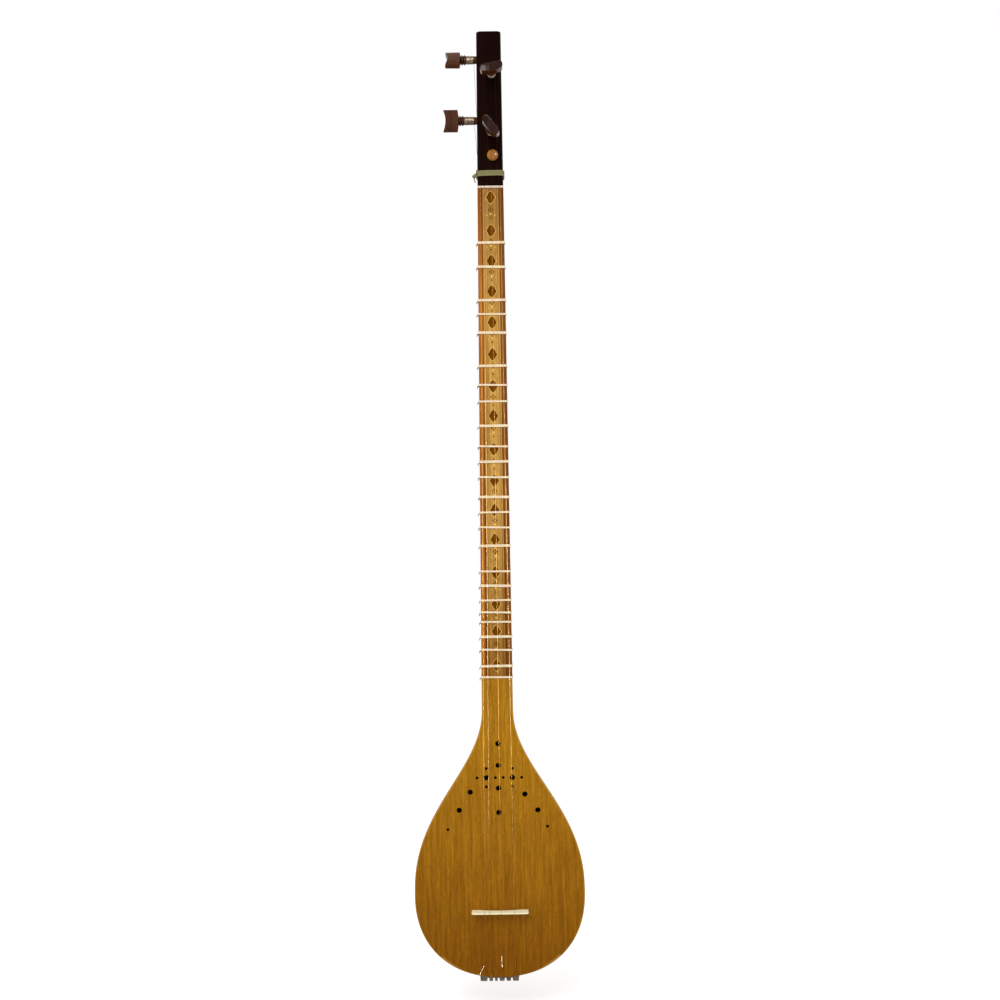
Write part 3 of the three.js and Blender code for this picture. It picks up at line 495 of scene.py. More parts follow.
# The bowl: nine ribs of mulberry bent over a mould and glued edge to edge, closed inside by a block at
# the tail and one under the neck. The ribs are varnished, with a fine dark joint between them.
BOWL_DEPTH = 126.0
DEEPEST_HEIGHT = 93.0
PROFILE_ROUNDNESS = 2.1
PROFILE_TAIL = (BOWL_DEPTH, DEEPEST_HEIGHT, PROFILE_ROUNDNESS)
BACK_LEAN = 1.05
NECK_DEPTH = (25.0, 21.0)
RIB_COUNT = 9
RIB_THICKNESS = 2.6
RIB_COLUMNS = 11
RIB_TONES = (("light", (160, 98, 40), (134, 76, 28)), ("deep", (148, 86, 34), (122, 66, 24)))
RIB_PORE = (84, 44, 14)
RIB_GRAIN_SHIFT = (40, 61.0)
RIM_DEPTH = 2.56
JOINT = 0.06
JOINT_ROUNDING = 0.35
TAIL_HOLE = 4.0
NORMAL_STEP = 0.01


def bowl_depth(height):
    """How far the back of the bowl and the neck lies behind the rim."""
    body = pear(height, *PROFILE_TAIL, NECK_DEPTH[0], BACK_LEAN)
    return np.where(height > SHOULDER_HEIGHT, tapered(height, NECK_DEPTH), body)


def bowl_point(height, angle, inset):
    """A point on the bowl, half an ellipse round at each height, moved in along the surface's normal."""
    step = NORMAL_STEP * np.minimum(height, 1)
    w, d = half_width(height), bowl_depth(height)
    dw, dd = [(size(height + step) - size(height - step)) / (2 * step) for size in (half_width, bowl_depth)]
    c, s = np.cos(angle), np.sin(angle)
    inward = unit(stack(-d * c, -w * s, dw * d * c * c + dd * w * s * s))
    return stack(w * c, RIM_DEPTH + d * s, height) + inward * np.asarray(inset)[..., None]


def tail_height(out, full, full_height, roundness):
    """The height at which the rounded tail of pear() is this far out: its formula solved for h."""
    share = (np.abs(out) / full) ** roundness
    return full_height * (1 - (1 - share) ** (1 / roundness))


def distances(path):
    """How far along a path each of its points lies."""
    return np.concatenate([[0], np.cumsum(np.linalg.norm(np.diff(path, axis=0), axis=1))])


rib_woods = [
    wood(f"rib_mulberry_{tone}", pale, dark, RIB_PORE, bands=220.0, rough=0.3, level=0.3, uv=True)
    for tone, pale, dark in RIB_TONES
]
rib_start = tail_height(TAIL_HOLE, *OUTLINE_TAIL)
share = np.linspace(0, 1, 64)
closer_at_tail = 0.62 * share ** 2.6 + 0.38 * share ** 1.2
h = (rib_start + (SHOULDER_HEIGHT - rib_start) * closer_at_tail)[:, None]
t = np.linspace(0, 1, RIB_COLUMNS)[None, :]
for number in range(RIB_COUNT):
    ends = np.pi * np.array([number, number + 1]) / RIB_COUNT
    reach = np.hypot(half_width(h) * np.sin(ends), bowl_depth(h) * np.cos(ends))
    joint = np.array([JOINT if number > 0 else 0.0, -JOINT if number < RIB_COUNT - 1 else 0.0]) / reach / 2
    first, last = (ends + joint).T[:, :, None]
    small = JOINT_ROUNDING / reach.max(axis=1, keepdims=True)
    angles = np.concatenate([first, first + small * 0.4, first + small + (last - first - 2 * small) * t,
                             last - small * 0.4, last], axis=1)
    dip = np.array([1.0, 0.3] + [0.0] * RIB_COLUMNS + [0.3, 1.0]) * JOINT_ROUNDING * np.ones_like(angles)
    outer = bowl_point(h, angles, dip)
    inner = bowl_point(h, angles, np.full_like(angles, RIB_THICKNESS))[:, ::-1]
    middle = angles.shape[1] // 2
    along = distances(outer[:, middle])[:, None] + RIB_GRAIN_SHIFT[1] * number
    around = (angles - angles[:, middle:middle + 1]) * reach.mean(axis=1, keepdims=True)
    around += RIB_GRAIN_SHIFT[0] * number
    grain = stack(np.concatenate([around, around[:, ::-1]], axis=1), along).reshape(-1, 2)
    rib = lofted(np.concatenate([outer, inner], axis=1))
    new_piece(f"bowl_rib_{number + 1}", rib, "instrument", rib_woods[number % 2],
              [f"rib_{number + 1}"], sharp=50, uv=grain)

block_wood = wood("block_mulberry", (150, 92, 40), (124, 70, 26), RIB_PORE)
for name in ("tail_block", "neck_block"):
    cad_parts[name].data.materials.clear()
    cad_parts[name].data.materials.append(block_wood)


# The neck: one long tapered piece of walnut, flat in front and half round behind, glued to the bowl at
# its heel and varnished.
NECK_TOP = 725.8
NECK_EDGE = 0.5
NECK_GAP = 0.05

turn = np.linspace(0, np.pi, 49)[None, :]
h = np.linspace(SHOULDER_HEIGHT + NECK_GAP, NECK_TOP, 40)[:, None]
w, d = half_width(h), bowl_depth(h)
back = stack(w * np.cos(turn), RIM_DEPTH + NECK_EDGE + (d - NECK_EDGE) * np.sin(turn), h)
front = [stack(sign * (w - NECK_EDGE), RIM_DEPTH, h) for sign in (1, -1)]
neck_rings = np.concatenate([front[0], back, front[1]], axis=1)
neck_wood = wood("neck_walnut", (128, 74, 36), (98, 52, 24), (58, 30, 14), rough=0.3, level=0.3)
new_piece("neck_shaft", lofted(neck_rings), "instrument", neck_wood, ["neck"])


# The head: a straight dark block in line with the neck, polished, with rounded front edges and a
# slightly domed top. Four tapered peg holes go right through it, and the guide pin's hole goes in part way.
HEAD_BOTTOM = 725.9
HEAD_TOP = 869.0
HEAD_HALF_WIDTH = (11.9, 11.3)
HEAD_FRONT = 2.0
HEAD_BACK = 24.0
HEAD_MIDDLE = (HEAD_FRONT + HEAD_BACK) / 2
HEAD_FRONT_ROUNDING = 4.0
HEAD_BACK_ROUNDING = 1.5
HEAD_TOP_ROUNDING = 1.0
HEAD_DOME = 0.5
HEAD_BEVEL = 0.25
HEAD_LEVELS = 12
SHANK_RADIUS = 3.5
SHANK_TAPER = 0.02
PEG_FIT = 0.09
PIN_PLACE = (2.4, 754.0)
PIN_SHANK = 1.5
PIN_DEPTH = 9.0
PIN_FIT = 0.05
SIDE_PEG_DEPTH = 8.5
OUT_OF_SIDE = np.array([[0, 0, 1], [0, 1, 0], [-1, 0, 0]], dtype=float)
OUT_OF_FRONT = np.array([[1, 0, 0], [0, 0, 1], [0, -1, 0]], dtype=float)

# Each peg: whether it comes out of the head's side, its height and place across, how much bare shank it
# shows, its turn, the angle at which its string leaves it, the way it is wound, and its string's wire.
PEG_KEYS = ("side", "height", "across", "exposed", "turn", "leaves", "sense", "wire")
PEG_ROWS = {
    "side_upper": (True, 843.6, 0.0, 9.7, 42, -90, -1, "steel"),
    "side_lower": (True, 787.6, 0.0, 12.0, 0, -90, -1, "brass"),
    "front_upper": (False, 828.0, 2.3, 12.0, 12, 0, -1, "steel"),
    "front_lower": (False, 775.0, 1.1, 12.0, -53, 180, 1, "brass"),
}
PEGS = {name: dict(zip(PEG_KEYS, row)) for name, row in PEG_ROWS.items()}


def head_half_width(height):
    """The head's half width, which narrows evenly toward the top."""
    t = (height - HEAD_BOTTOM) / (HEAD_TOP - HEAD_BOTTOM)
    return HEAD_HALF_WIDTH[0] + (HEAD_HALF_WIDTH[1] - HEAD_HALF_WIDTH[0]) * t


def head_section(half, grow=0.0, grow_front=0.0):
    """A rectangle with rounded corners, going round from the right side over the back to the front."""
    t = np.linspace(0, np.pi / 2, 8)
    corners = []
    for quarter, (sx, sy) in enumerate(((1, 1), (-1, 1), (-1, -1), (1, -1))):
        r = HEAD_BACK_ROUNDING + grow if sy > 0 else HEAD_FRONT_ROUNDING + grow_front
        level = HEAD_BACK + grow - r if sy > 0 else HEAD_FRONT - grow_front + r
        a = t + quarter * np.pi / 2
        corners.append(stack(sx * (half + grow - r) + r * np.cos(a), level + r * np.sin(a)))
    return np.concatenate(corners)


def peg_axes(peg):
    """Where a peg enters the head, and its own three directions: the third points out of the head."""
    if peg["side"]:
        return np.array([-head_half_width(peg["height"]), SIDE_PEG_DEPTH, peg["height"]]), OUT_OF_SIDE
    return np.array([peg["across"], HEAD_FRONT, peg["height"]]), OUT_OF_FRONT


def peg_span(peg):
    """How much of a peg lies inside the head."""
    return 2 * head_half_width(peg["height"]) if peg["side"] else HEAD_BACK - HEAD_FRONT


def shank_radius(outward):
    """The shank is a long cone, thicker toward the handle."""
    return SHANK_RADIUS + SHANK_TAPER * outward


def turned(profile, sides=48):
    """A profile of radius and height, turned round the third axis as on a lathe."""
    r, z = np.asarray(profile, dtype=float).T[:, :, None]
    c, s = disc(1, sides).T
    return stack(r * c, r * s, z)


bend = np.linspace(0, np.pi / 2, 7)
levels = np.concatenate([
    [HEAD_BOTTOM, HEAD_BOTTOM + HEAD_BEVEL], np.linspace(HEAD_BOTTOM + 8, HEAD_TOP - 8, HEAD_LEVELS),
    HEAD_TOP - HEAD_DOME - HEAD_TOP_ROUNDING * (1 - np.sin(bend)),
])
insets = np.concatenate([[HEAD_BEVEL, 0.0], np.zeros(HEAD_LEVELS), HEAD_TOP_ROUNDING * (1 - np.cos(bend))])
sections = []
for level, inset in zip(levels, insets):
    half = head_half_width(level)
    flat = head_section(half) - (0, HEAD_MIDDLE)
    flat *= 1 - inset / np.array([half, HEAD_MIDDLE - HEAD_FRONT])
    sections.append(stack(flat[:, 0], flat[:, 1] + HEAD_MIDDLE, level))
last = sections[-1]
for t in (0.75, 0.5, 0.25, 0.02):
    lifted = (0, HEAD_MIDDLE, HEAD_DOME * (1 - t ** 2))
    sections.append((last - (0, HEAD_MIDDLE, 0)) * (t, t, 1) + lifted)
head_wood = wood("head_dark_wood", (27, 9, 6), (18, 5, 3), (6, 2, 1), rough=0.3, level=0.02)
head = new_piece("head_block", lofted(np.stack(sections)), "instrument", head_wood, ["head"])
bores = []
for peg in PEGS.values():
    start, axes = peg_axes(peg)
    ends = [(shank_radius(z) + PEG_FIT, z) for z in (-peg_span(peg) - 1, 1)]
    bores.append(lofted(start + turned(ends) @ axes))
pin_hole = turned([(PIN_SHANK + PIN_FIT, z) for z in (-PIN_DEPTH - 0.3, 1)], 24)
pin_start = np.array([PIN_PLACE[0], HEAD_FRONT, PIN_PLACE[1]])
bores.append(lofted(pin_start + pin_hole @ OUT_OF_FRONT))
drilled(head, joined(bores))


# The fingerboard: a golden panel between two red-brown strips, glued to the front of the neck. Pale and
# dark lines are let in along the joints, and brown lozenges and small dots down the middle.
PANEL_HALF_WIDTH = (7.6, 6.5)
FINGERBOARD_ENDS = (275.16, 723.6)
OUTER_ROUNDING = 0.6
STRIP_GAP = 0.02
STRIPS = (
    (-1, "left", "orange", ((188, 119, 45), (158, 92, 30), (108, 58, 17))),
    (1, "right", "brown", ((132, 82, 34), (108, 62, 24), (80, 40, 12))),
)
INLAY_PROUD = 0.02
INLAY_DEPTH = 0.5
LINES = (
    ("pale", (0.0, 0.6), ((206, 160, 92), (184, 138, 72), (150, 108, 50))),
    ("inner", (-1.1, -0.6), ((150, 104, 40), (128, 86, 30), (96, 58, 16))),
    ("dark", (1.2, 2.1), ((138, 82, 26), (112, 62, 18), (70, 36, 10))),
    ("orange", (2.1, 3.2), ((180, 114, 48), (158, 94, 34), (116, 64, 20))),
)
LOZENGE_HEIGHTS = (
    715.2, 684.8, 656.9, 629.1, 600.6, 571.3, 542.0, 514.8, 484.2, 455.5, 428.5, 401.5, 371.1, 342.4,
    317.1, 286.3,
)
LOZENGE_HALF_WIDTH = 4.2
LOZENGE_HALF_HEIGHT = 5.7
LOZENGE_QUARTER = (
    (1, 0), (0.94, 0.16), (0.8, 0.29), (0.66, 0.34), (0.66, 0.48), (0.56, 0.64), (0.38, 0.8), (0.16, 0.94),
)
BORDER = 0.5
DOT_RADIUS = 0.95
DOTS = ((0, 0),)
DOT_SIDES = 20
FAINT_DOT_RADIUS = 0.57
FAINT_DOTS = ((-3.6, -1.2), (3.6, -1.2))
SPECK_SIZE = (0.8, 1.0)
SPECKS = ((0, 2.6), (-1.7, 3.9), (1.7, 3.9), (0, 5.2), (0, -3.6))
ENDS_DEEPEN = [(-0.21, -0.135, (0.62, 0.56, 0.56)), (-0.43, -0.56, (0.55, 0.45, 0.32))]

board_levels = np.linspace(*FINGERBOARD_ENDS, 30)[:, None]
panel_edge = tapered(board_levels, PANEL_HALF_WIDTH)
outer_edge = half_width(board_levels)


def strip_shape(section):
    """A long plate with straight sides: at each height a section, given as edges across and depths."""
    return lofted(np.stack([stack(x, d, board_levels)[:, 0] for x, d in section], axis=1))


def strip_between(near, far, depths):
    """A long plate with a four-cornered section between two edges."""
    return strip_shape([(near, depths[0]), (far, depths[0]), (far, depths[1]), (near, depths[1])])


panel_wood = wood("panel_gold_wood", (204, 158, 82), (176, 129, 58), (130, 86, 30), bands=420.0, figure=0.6,
                  rough=0.32, level=0.05, fades=ENDS_DEEPEN)
border_wood = wood("inlay_pale_wood", (232, 196, 108), (212, 172, 84), (176, 132, 56), pores=0.2, rough=0.32,
                   level=0.08)
brown_wood = wood("inlay_brown_wood", (124, 70, 4), (98, 52, 2), (56, 26, 2), rough=0.32, level=0.02)
panel = strip_between(-panel_edge, panel_edge, (0.0, BOARD_THICKNESS))
new_piece("fingerboard_middle", panel, "instrument", panel_wood, ["fingerboard_panel"])
bend = np.linspace(0, np.pi / 2, 5)
for side, name, colour, tones in STRIPS:
    strip_wood = wood(f"strip_{colour}_wood", *tones, bands=500.0, rough=0.32, level=0.05,
                      fades=ENDS_DEEPEN[:1])
    edge = [(outer_edge - OUTER_ROUNDING * (1 - c), OUTER_ROUNDING * (1 - s))
            for c, s in zip(np.cos(bend), np.sin(bend))]
    section = [(panel_edge + STRIP_GAP, BOARD_THICKNESS), (outer_edge, BOARD_THICKNESS)] + edge
    section += [(outer_edge - EDGE_LINE, 0.0), (panel_edge + STRIP_GAP, 0.0)]
    new_piece(f"fingerboard_side_{name}", strip_shape([(side * x, d) for x, d in section]), "instrument",
              strip_wood, [f"fingerboard_strip_{name}"])
for name, edges, tones in LINES:
    near, far = [panel_edge + edge for edge in edges]
    laid = [strip_between(side * near, side * far, (-INLAY_PROUD, INLAY_DEPTH)) for side in (-1, 1)]
    line_wood = wood(f"line_{name}_wood", *tones, pores=0.2, rough=0.32, level=0.05, fades=ENDS_DEEPEN)
    new_piece(f"fingerboard_lines_{name}", joined(laid), "instrument", line_wood)


def inlays(outline, places, proud):
    """A flat shape let into the panel at each place, a little proud of the wood."""
    made = []
    for across, height in places:
        flat = stack(across + outline[:, 0], 0, height + outline[:, 1])
        made.append(lofted(np.stack([flat + (0, INLAY_DEPTH, 0), flat - (0, proud, 0)])))
    return made


def lozenge(half_across, half_up):
    """A diamond with four pointed lobes and a small notch between each two, as an outline."""
    left = (np.array(LOZENGE_QUARTER)[:0:-1] * (-1, 1)).tolist()
    upper = [*LOZENGE_QUARTER, (0.0, 1.0), *left, (-1.0, 0.0)]
    lower = (np.array(upper[1:-1]) * (1, -1))[::-1].tolist()
    return np.array(upper + lower) * (half_across, half_up)


places = [(0, h) for h in LOZENGE_HEIGHTS]
gaps = [(a + b) / 2 for a, b in zip(LOZENGE_HEIGHTS, LOZENGE_HEIGHTS[1:])]
dots, faint, specks = [
    [(x, h + up) for h in gaps for x, up in group] for group in (DOTS, FAINT_DOTS, SPECKS)
]
pale = inlays(lozenge(LOZENGE_HALF_WIDTH + BORDER, LOZENGE_HALF_HEIGHT + BORDER), places, INLAY_PROUD)
pale += inlays(disc(DOT_RADIUS, DOT_SIDES), dots, INLAY_PROUD * 1.5)
pale += inlays(disc(FAINT_DOT_RADIUS, DOT_SIDES), faint, INLAY_PROUD)
brown = inlays(lozenge(LOZENGE_HALF_WIDTH, LOZENGE_HALF_HEIGHT), places, INLAY_PROUD * 2)
brown += inlays(lozenge(*SPECK_SIZE), specks, INLAY_PROUD)
new_piece("fingerboard_lozenge_borders", joined(pale), "instrument", border_wood)
new_piece("fingerboard_lozenges", joined(brown), "instrument", brown_wood)


# The nut and the bridge: polished bone. The nut is a low bar across the end of the fingerboard. The
# bridge stands loose on two feet with a shallow arch between them. Both have a groove for each string.
STRING_RADIUS = 0.12
GROOVE_WIDTH = 0.45
NUT_FACE = -1.25
NUT_GROOVE = 0.3
NUT_HALF_THICKNESS = 1.0
NUT_ROUNDING = 0.5
NUT_ENDS = (0.4, 0.15, 0.0)
NUT_END_DROPS = (0.0, 0.08, 0.4)
BRIDGE_HEIGHT = 60.9
BRIDGE_HALF_LENGTH = 26.0
BRIDGE_HALF_FOOT = 1.0
BRIDGE_HALF_TOP = 0.62
BRIDGE_ROUNDING = 0.4
BRIDGE_RISE = 10.7
BRIDGE_GROOVE = 0.35
BRIDGE_FOOT = 8.0
BRIDGE_ARCH = 2.6
BRIDGE_STAND = 0.03
BRIDGE_END = 3.2
BRIDGE_END_DROP = 1.6
BRIDGE_STEPS = np.array([0, 0.12, 0.4, 1.0, 2.0])
BRIDGE_CLOSING = (0.6, 0.85, 1.0)

# Each string: its peg, its place across at the binding, the nut and the bridge, where its loop passes the
# two sides of a tooth, the height where it forks, whether its twist goes up it, and if its end is bright,
# with a painted glint.
STRING_KEYS = ("peg", "binding", "nut", "bridge", "tooth", "fork", "twist_up", "bright")
STRING_ROWS = {
    "left_outer": ("side_lower", -10.5, -8.7, -14.2, (-19.4, -11.6), 11.0, False, True),
    "left_inner": ("side_upper", -9.2, -5.5, -9.7, (-11.6, -6.4), 7.0, True, False),
    "middle": ("front_lower", 0.2, 0.9, 1.1, (-2.2, 4.2), 9.0, True, True),
    "right": ("front_upper", 6.6, 8.7, 13.1, (10.0, 17.0), 7.0, True, False),
}
STRINGS = {name: dict(zip(STRING_KEYS, row)) for name, row in STRING_ROWS.items()}


def bone(name, pale, deep):
    """Polished bone: creamy white with faint long streaks and tiny dark pores."""
    material, tree = blank_material(name)
    place = add_node(tree, "TexCoord").outputs["Object"]
    streak = noise(tree, place, (60, 700, 700), 3.0)
    pore = between(tree, noise(tree, place, 2600.0, 1.0), 0.66, 0.72)
    colour = mixed(tree, between(tree, streak, 0.3, 0.7), linear(pale), linear(deep))
    colour = mixed(tree, between(tree, pore, 0, 1, 0, 0.35), colour, linear((150, 120, 84)))
    return surfaced(material, {
        "Base Color": colour, "Roughness": between(tree, streak, 0.2, 0.8, 0.28, 0.42),
        "Subsurface Weight": 0.1, "Subsurface Radius": (0.002, 0.0014, 0.0009),
        "Normal": bumped(tree, streak, 0.3, 0.00005),
    })


def grooves(across, key, depth):
    """How much lower the top edge is at a place, where each string has a round-bottomed groove."""
    places = np.array([string[key] for string in STRINGS.values()])
    near = (across[:, None] - places) / GROOVE_WIDTH
    return depth * np.exp(-near ** 2).sum(axis=1)


def bar(across, lows, tops, half_low, half_top, middle_height, rounding):
    """A bar lying across the instrument: at each place a section with a foot, two sides and a round top."""
    rings = []
    t = np.linspace(0, np.pi, 9)
    side = np.sign(np.cos(t)) * (np.abs(np.cos(t)) > 1e-6)
    for x, low, top, a, b in zip(across, lows, tops, half_low, half_top):
        r = min(rounding, b)
        cap = stack(x, top + r - r * np.sin(t), (b - r) * side + r * np.cos(t))
        foot = stack(x, low, np.array([-a, a]))
        rings.append(np.concatenate([foot, cap]) + (0, 0, middle_height))
    return lofted(np.stack(rings))


nut_bone = bone("nut_bone", (226, 208, 192), (208, 186, 166))
# The bridge's bone is paler than the nut's: painted light, making up for the little light on its upper face.
bridge_bone = bone("bridge_bone", (255, 252, 220), (255, 243, 200))
end = half_width(NUT_HEIGHT) - np.array(NUT_ENDS)
x = np.concatenate([-end[:0:-1], np.linspace(-end[0], end[0], 150), end[1:]])
tops = NUT_FACE + np.interp(np.abs(x), end, NUT_END_DROPS) + grooves(x, "nut", NUT_GROOVE)
half = np.full_like(x, NUT_HALF_THICKNESS)
nut_shape = bar(x, np.full_like(x, BOARD_THICKNESS), tops, half, half, NUT_HEIGHT, NUT_ROUNDING)
new_piece("nut_bar", nut_shape, "instrument", nut_bone, ["nut"])

end = BRIDGE_HALF_LENGTH - BRIDGE_STEPS
x = np.concatenate([-end, np.linspace(3 - BRIDGE_HALF_LENGTH, BRIDGE_HALF_LENGTH - 3, 190), end[::-1]])
inside = np.clip(1 - (np.abs(x) / (BRIDGE_HALF_LENGTH - BRIDGE_FOOT)) ** 2, 0, 1)
lows = -BRIDGE_STAND - BRIDGE_ARCH * inside ** 0.8
from_end = BRIDGE_HALF_LENGTH - np.abs(x)
near_end = np.clip(1 - from_end / BRIDGE_END, 0, 1)
tops = -BRIDGE_RISE + BRIDGE_END_DROP * near_end ** 2.4 + grooves(x, "bridge", BRIDGE_GROOVE)
closing = np.interp(from_end, BRIDGE_STEPS[:3], BRIDGE_CLOSING)
bridge_shape = bar(x, lows, tops, closing * BRIDGE_HALF_FOOT, closing * BRIDGE_HALF_TOP, BRIDGE_HEIGHT,
                   BRIDGE_ROUNDING)
new_piece("bridge_bar", bridge_shape, "bridge", bridge_bone, ["bridge"])


# The frets: gut tied round the neck in three or four turns lying side by side, and knotted at the neck's
# left edge, near the front, with the ends cut short. Each can be pushed along the neck.
STRING_LENGTH = 663.9
OCTAVE_CENTS = 1200
FRET_CENTS = (
    139, 203, 295, 335, 390, 492, 554, 609, 694, 769, 827, 888, 969, 1034, 1101, 1186, 1312, 1387, 1466,
    1535, 1591, 1682, 1767, 1878, 1959,
)
FRET_HEIGHTS = [BRIDGE_HEIGHT + STRING_LENGTH * 2 ** (-cents / OCTAVE_CENTS) for cents in FRET_CENTS]
BROAD_FRETS = (1, 2, 3, 5, 6, 9, 11, 13, 16, 18, 22, 24)
GUT_RADIUS = 0.3
GUT_END_RADIUS = 0.24
GUT_LIFT = 0.24
GUT_SPACING = 0.58
GUT_SLANT = 0.22 / 14
TURN_POINTS = 64
KNOT_SIZE = 0.9
KNOT_OUT = 1.0
KNOT_DEPTH = 1.1
KNOT_DROP = 0.2
KNOT_END = (-0.7, 0.0, -1.9)
GUT_START = 0.02
WOBBLE_STEP = 2.4


def tube(points, reference, radius, sides=8):
    """A round tube along a path, turned so that its first side points along the reference direction."""
    along = unit(np.gradient(points, axis=0))
    side = unit(reference - along * np.sum(reference * along, axis=1, keepdims=True))
    other = np.cross(along, side)
    c, s = disc(1, sides).T[:, None, :, None]
    return lofted(points[:, None] + radius * (c * side[:, None] + s * other[:, None]))


def at_length(at, length, values):
    """Values that are known at some lengths along a path, at other lengths."""
    return stack(*[np.interp(at, length, column) for column in values.T])


def round_neck(height, share, off):
    """A place on the neck's skin, lifted off it, and the direction out of it. share goes once round from
    the left edge across the front, down the right side and back round behind."""
    w, d = half_width(height), bowl_depth(height)
    a = np.linspace(0, 1, 24)
    c, s = np.cos(a * np.pi / 2), np.sin(a * np.pi / 2)
    cos, sin = np.cos(a * np.pi), np.sin(a * np.pi)
    skin = np.concatenate([stack(*part) for part in (
        (-w + 2 * w * a, 0, 0, -1), (w, 0, s, -c), (w, RIM_DEPTH * a, 1, 0),
        (w * cos, RIM_DEPTH + d * sin, *unit(stack(d * cos, w * sin)).T),
        (-w, RIM_DEPTH * (1 - a), -1, 0), (-w, 0, -c, -s),
    )])
    out = skin[:, 2:]
    path = skin[:, :2] + out * off
    length = distances(path)
    at = (share % 1) * length[-1]
    return at_length(at, length, path), unit(at_length(at, length, out))


def knot(centre, size, radius, tilt):
    """A small overhand knot: a tube along a trefoil, flattened a little."""
    t = np.linspace(0, 2 * np.pi, 49)[:-1]
    curve = stack(np.sin(t) + 2 * np.sin(2 * t), np.cos(t) - 2 * np.cos(2 * t), -np.sin(3 * t)) / 3
    curve = np.concatenate([curve, curve[:2]])
    c, s = math.cos(tilt), math.sin(tilt)
    curve = curve @ np.array([[c, 0, s], [0, 1, 0], [-s, 0, c]]) * (0.7, 1, 1)
    return tube(centre + curve * size, curve + (0, 0, 0.01), radius, 6)


def strands(tree, place, scale, twist):
    """Fine slanting strands, as in a twisted cord."""
    inputs = {"Vector": place, "Scale": scale, "Distortion": twist, "Detail": 2.0}
    return add_node(tree, "TexWave", inputs, bands_direction="DIAGONAL").outputs["Fac"]


def gut(name, pale, deep):
    """Twisted gut: creamy, faintly translucent, with fine slanting strands and painted shade between them.
    """
    material, tree = blank_material(name)
    place = add_node(tree, "TexCoord").outputs["Object"]
    strand = strands(tree, place, 520.0, 2.0)
    tint = between(tree, noise(tree, place, 160.0, 2.0), 0.35, 0.65)
    colour = mixed(tree, tint, linear(pale), linear(deep))
    colour = mixed(tree, between(tree, strand, 0, 0.5, 0.22, 0), colour, linear((196, 160, 112)))
    return surfaced(material, {
        "Base Color": colour, "Roughness": 0.42, "Subsurface Weight": 0.15,
        "Subsurface Radius": (0.001, 0.0008, 0.0005), "Normal": bumped(tree, strand, 0.3, 0.00004),
    })


gut_cream = gut("gut", (255, 240, 212), (246, 224, 188))
gut_ends = gut("gut_ends", (172, 164, 142), (134, 126, 104))
for number, height in enumerate(FRET_HEIGHTS, start=1):
    turns = 4 if number in BROAD_FRETS else 3
    wobble = math.sin(number * WOBBLE_STEP)
    share = np.linspace(0, turns, turns * TURN_POINTS + 1)
    point, normal = round_neck(height, share - GUT_START, GUT_RADIUS + GUT_LIFT)
    slant = GUT_SLANT * wobble * point[:, 0]
    level = height + GUT_SPACING * (turns - 1) / 2 - GUT_SPACING * (share - 0.5) + slant
    wraps = tube(stack(point[:, 0], point[:, 1], level), stack(normal[:, 0], normal[:, 1], 0), GUT_RADIUS)
    foot = height - GUT_SPACING * turns / 2
    middle = np.array([-half_width(height) - KNOT_OUT, KNOT_DEPTH + 0.4 * wobble, foot - KNOT_DROP])
    parts = [knot(middle, KNOT_SIZE, GUT_RADIUS, 0.6 * wobble)]
    for sign in (-1, 1):
        t = np.linspace(0, 1, 7)[:, None]
        far = np.array(KNOT_END) + sign * np.array([-0.25 * wobble, 0.5, 0.5 * wobble])
        cut_end = middle + t * far + (0.0, 0.25 * sign, 0) * t * (1 - t)
        parts.append(tube(cut_end, (1.0, 0.2, 0.1), GUT_END_RADIUS, 6))
    name = f"fret_{number:02d}"
    new_piece(f"tied_{name}", wraps, name, gut_cream, [name], sharp=60)
    new_piece(f"knot_{name}", joined(parts), name, gut_ends, sharp=60)


# The pegs: turned from dark red-brown hardwood, with a tapered shank, two beads and a flat handle that is
# hollowed along its outer edge. The string is wound on the shank close to the head.
BEAD_LENGTH = 2.3
BEAD_HEIGHT = 1.35
SHANK_NECK = 3.3
TIP_INSET = 0.4
TIP_BEVEL = 0.3
HANDLE_LENGTH = 14.6
HANDLE_HALF_WIDTH = 10.2
HANDLE_HALF_THICKNESS = 4.0
HANDLE_THINNING = 0.3
HANDLE_SQUARENESS = 1.3
HANDLE_HOLLOW = 2.3
HANDLE_SHOULDER = 1.0
HANDLE_CORNER = 0.5
HANDLE_RIM = 0.3
HANDLE_CLOSING = ((0.97, 0.08), (0.9, 0.0), (0.6, 0.0), (0.3, 0.0), (0.03, 0.0))
WINDING_START = 2.8
WINDING_PITCH = 0.33
WINDING_GAP = 0.5
WINDING_BED = 0.95

# Wire is painted dark above the first pair of heights, in metres, a painted dim reflection on the head, and
# painted darker and warmer below the second, a painted reflection of the board.
HEAD_SHADE_HEIGHTS = (-0.127, -0.1258)
BOARD_REFLECTION_HEIGHTS = (-0.69, -0.76)
HEAD_SHADE = 0.05
BOARD_REFLECTION = (0.62, 0.45, 0.28, 1.0)

peg_woods = {
    side: wood(f"peg_hardwood_{name}", (96, 48, 20), (58, 29, 11), (26, 12, 6), bands=520.0, rough=0.18,
               level=0.15, end_grain=axis)
    for side, name, axis in ((True, "side", (1, 0, 0)), (False, "front", (0, 1, 0)))
}


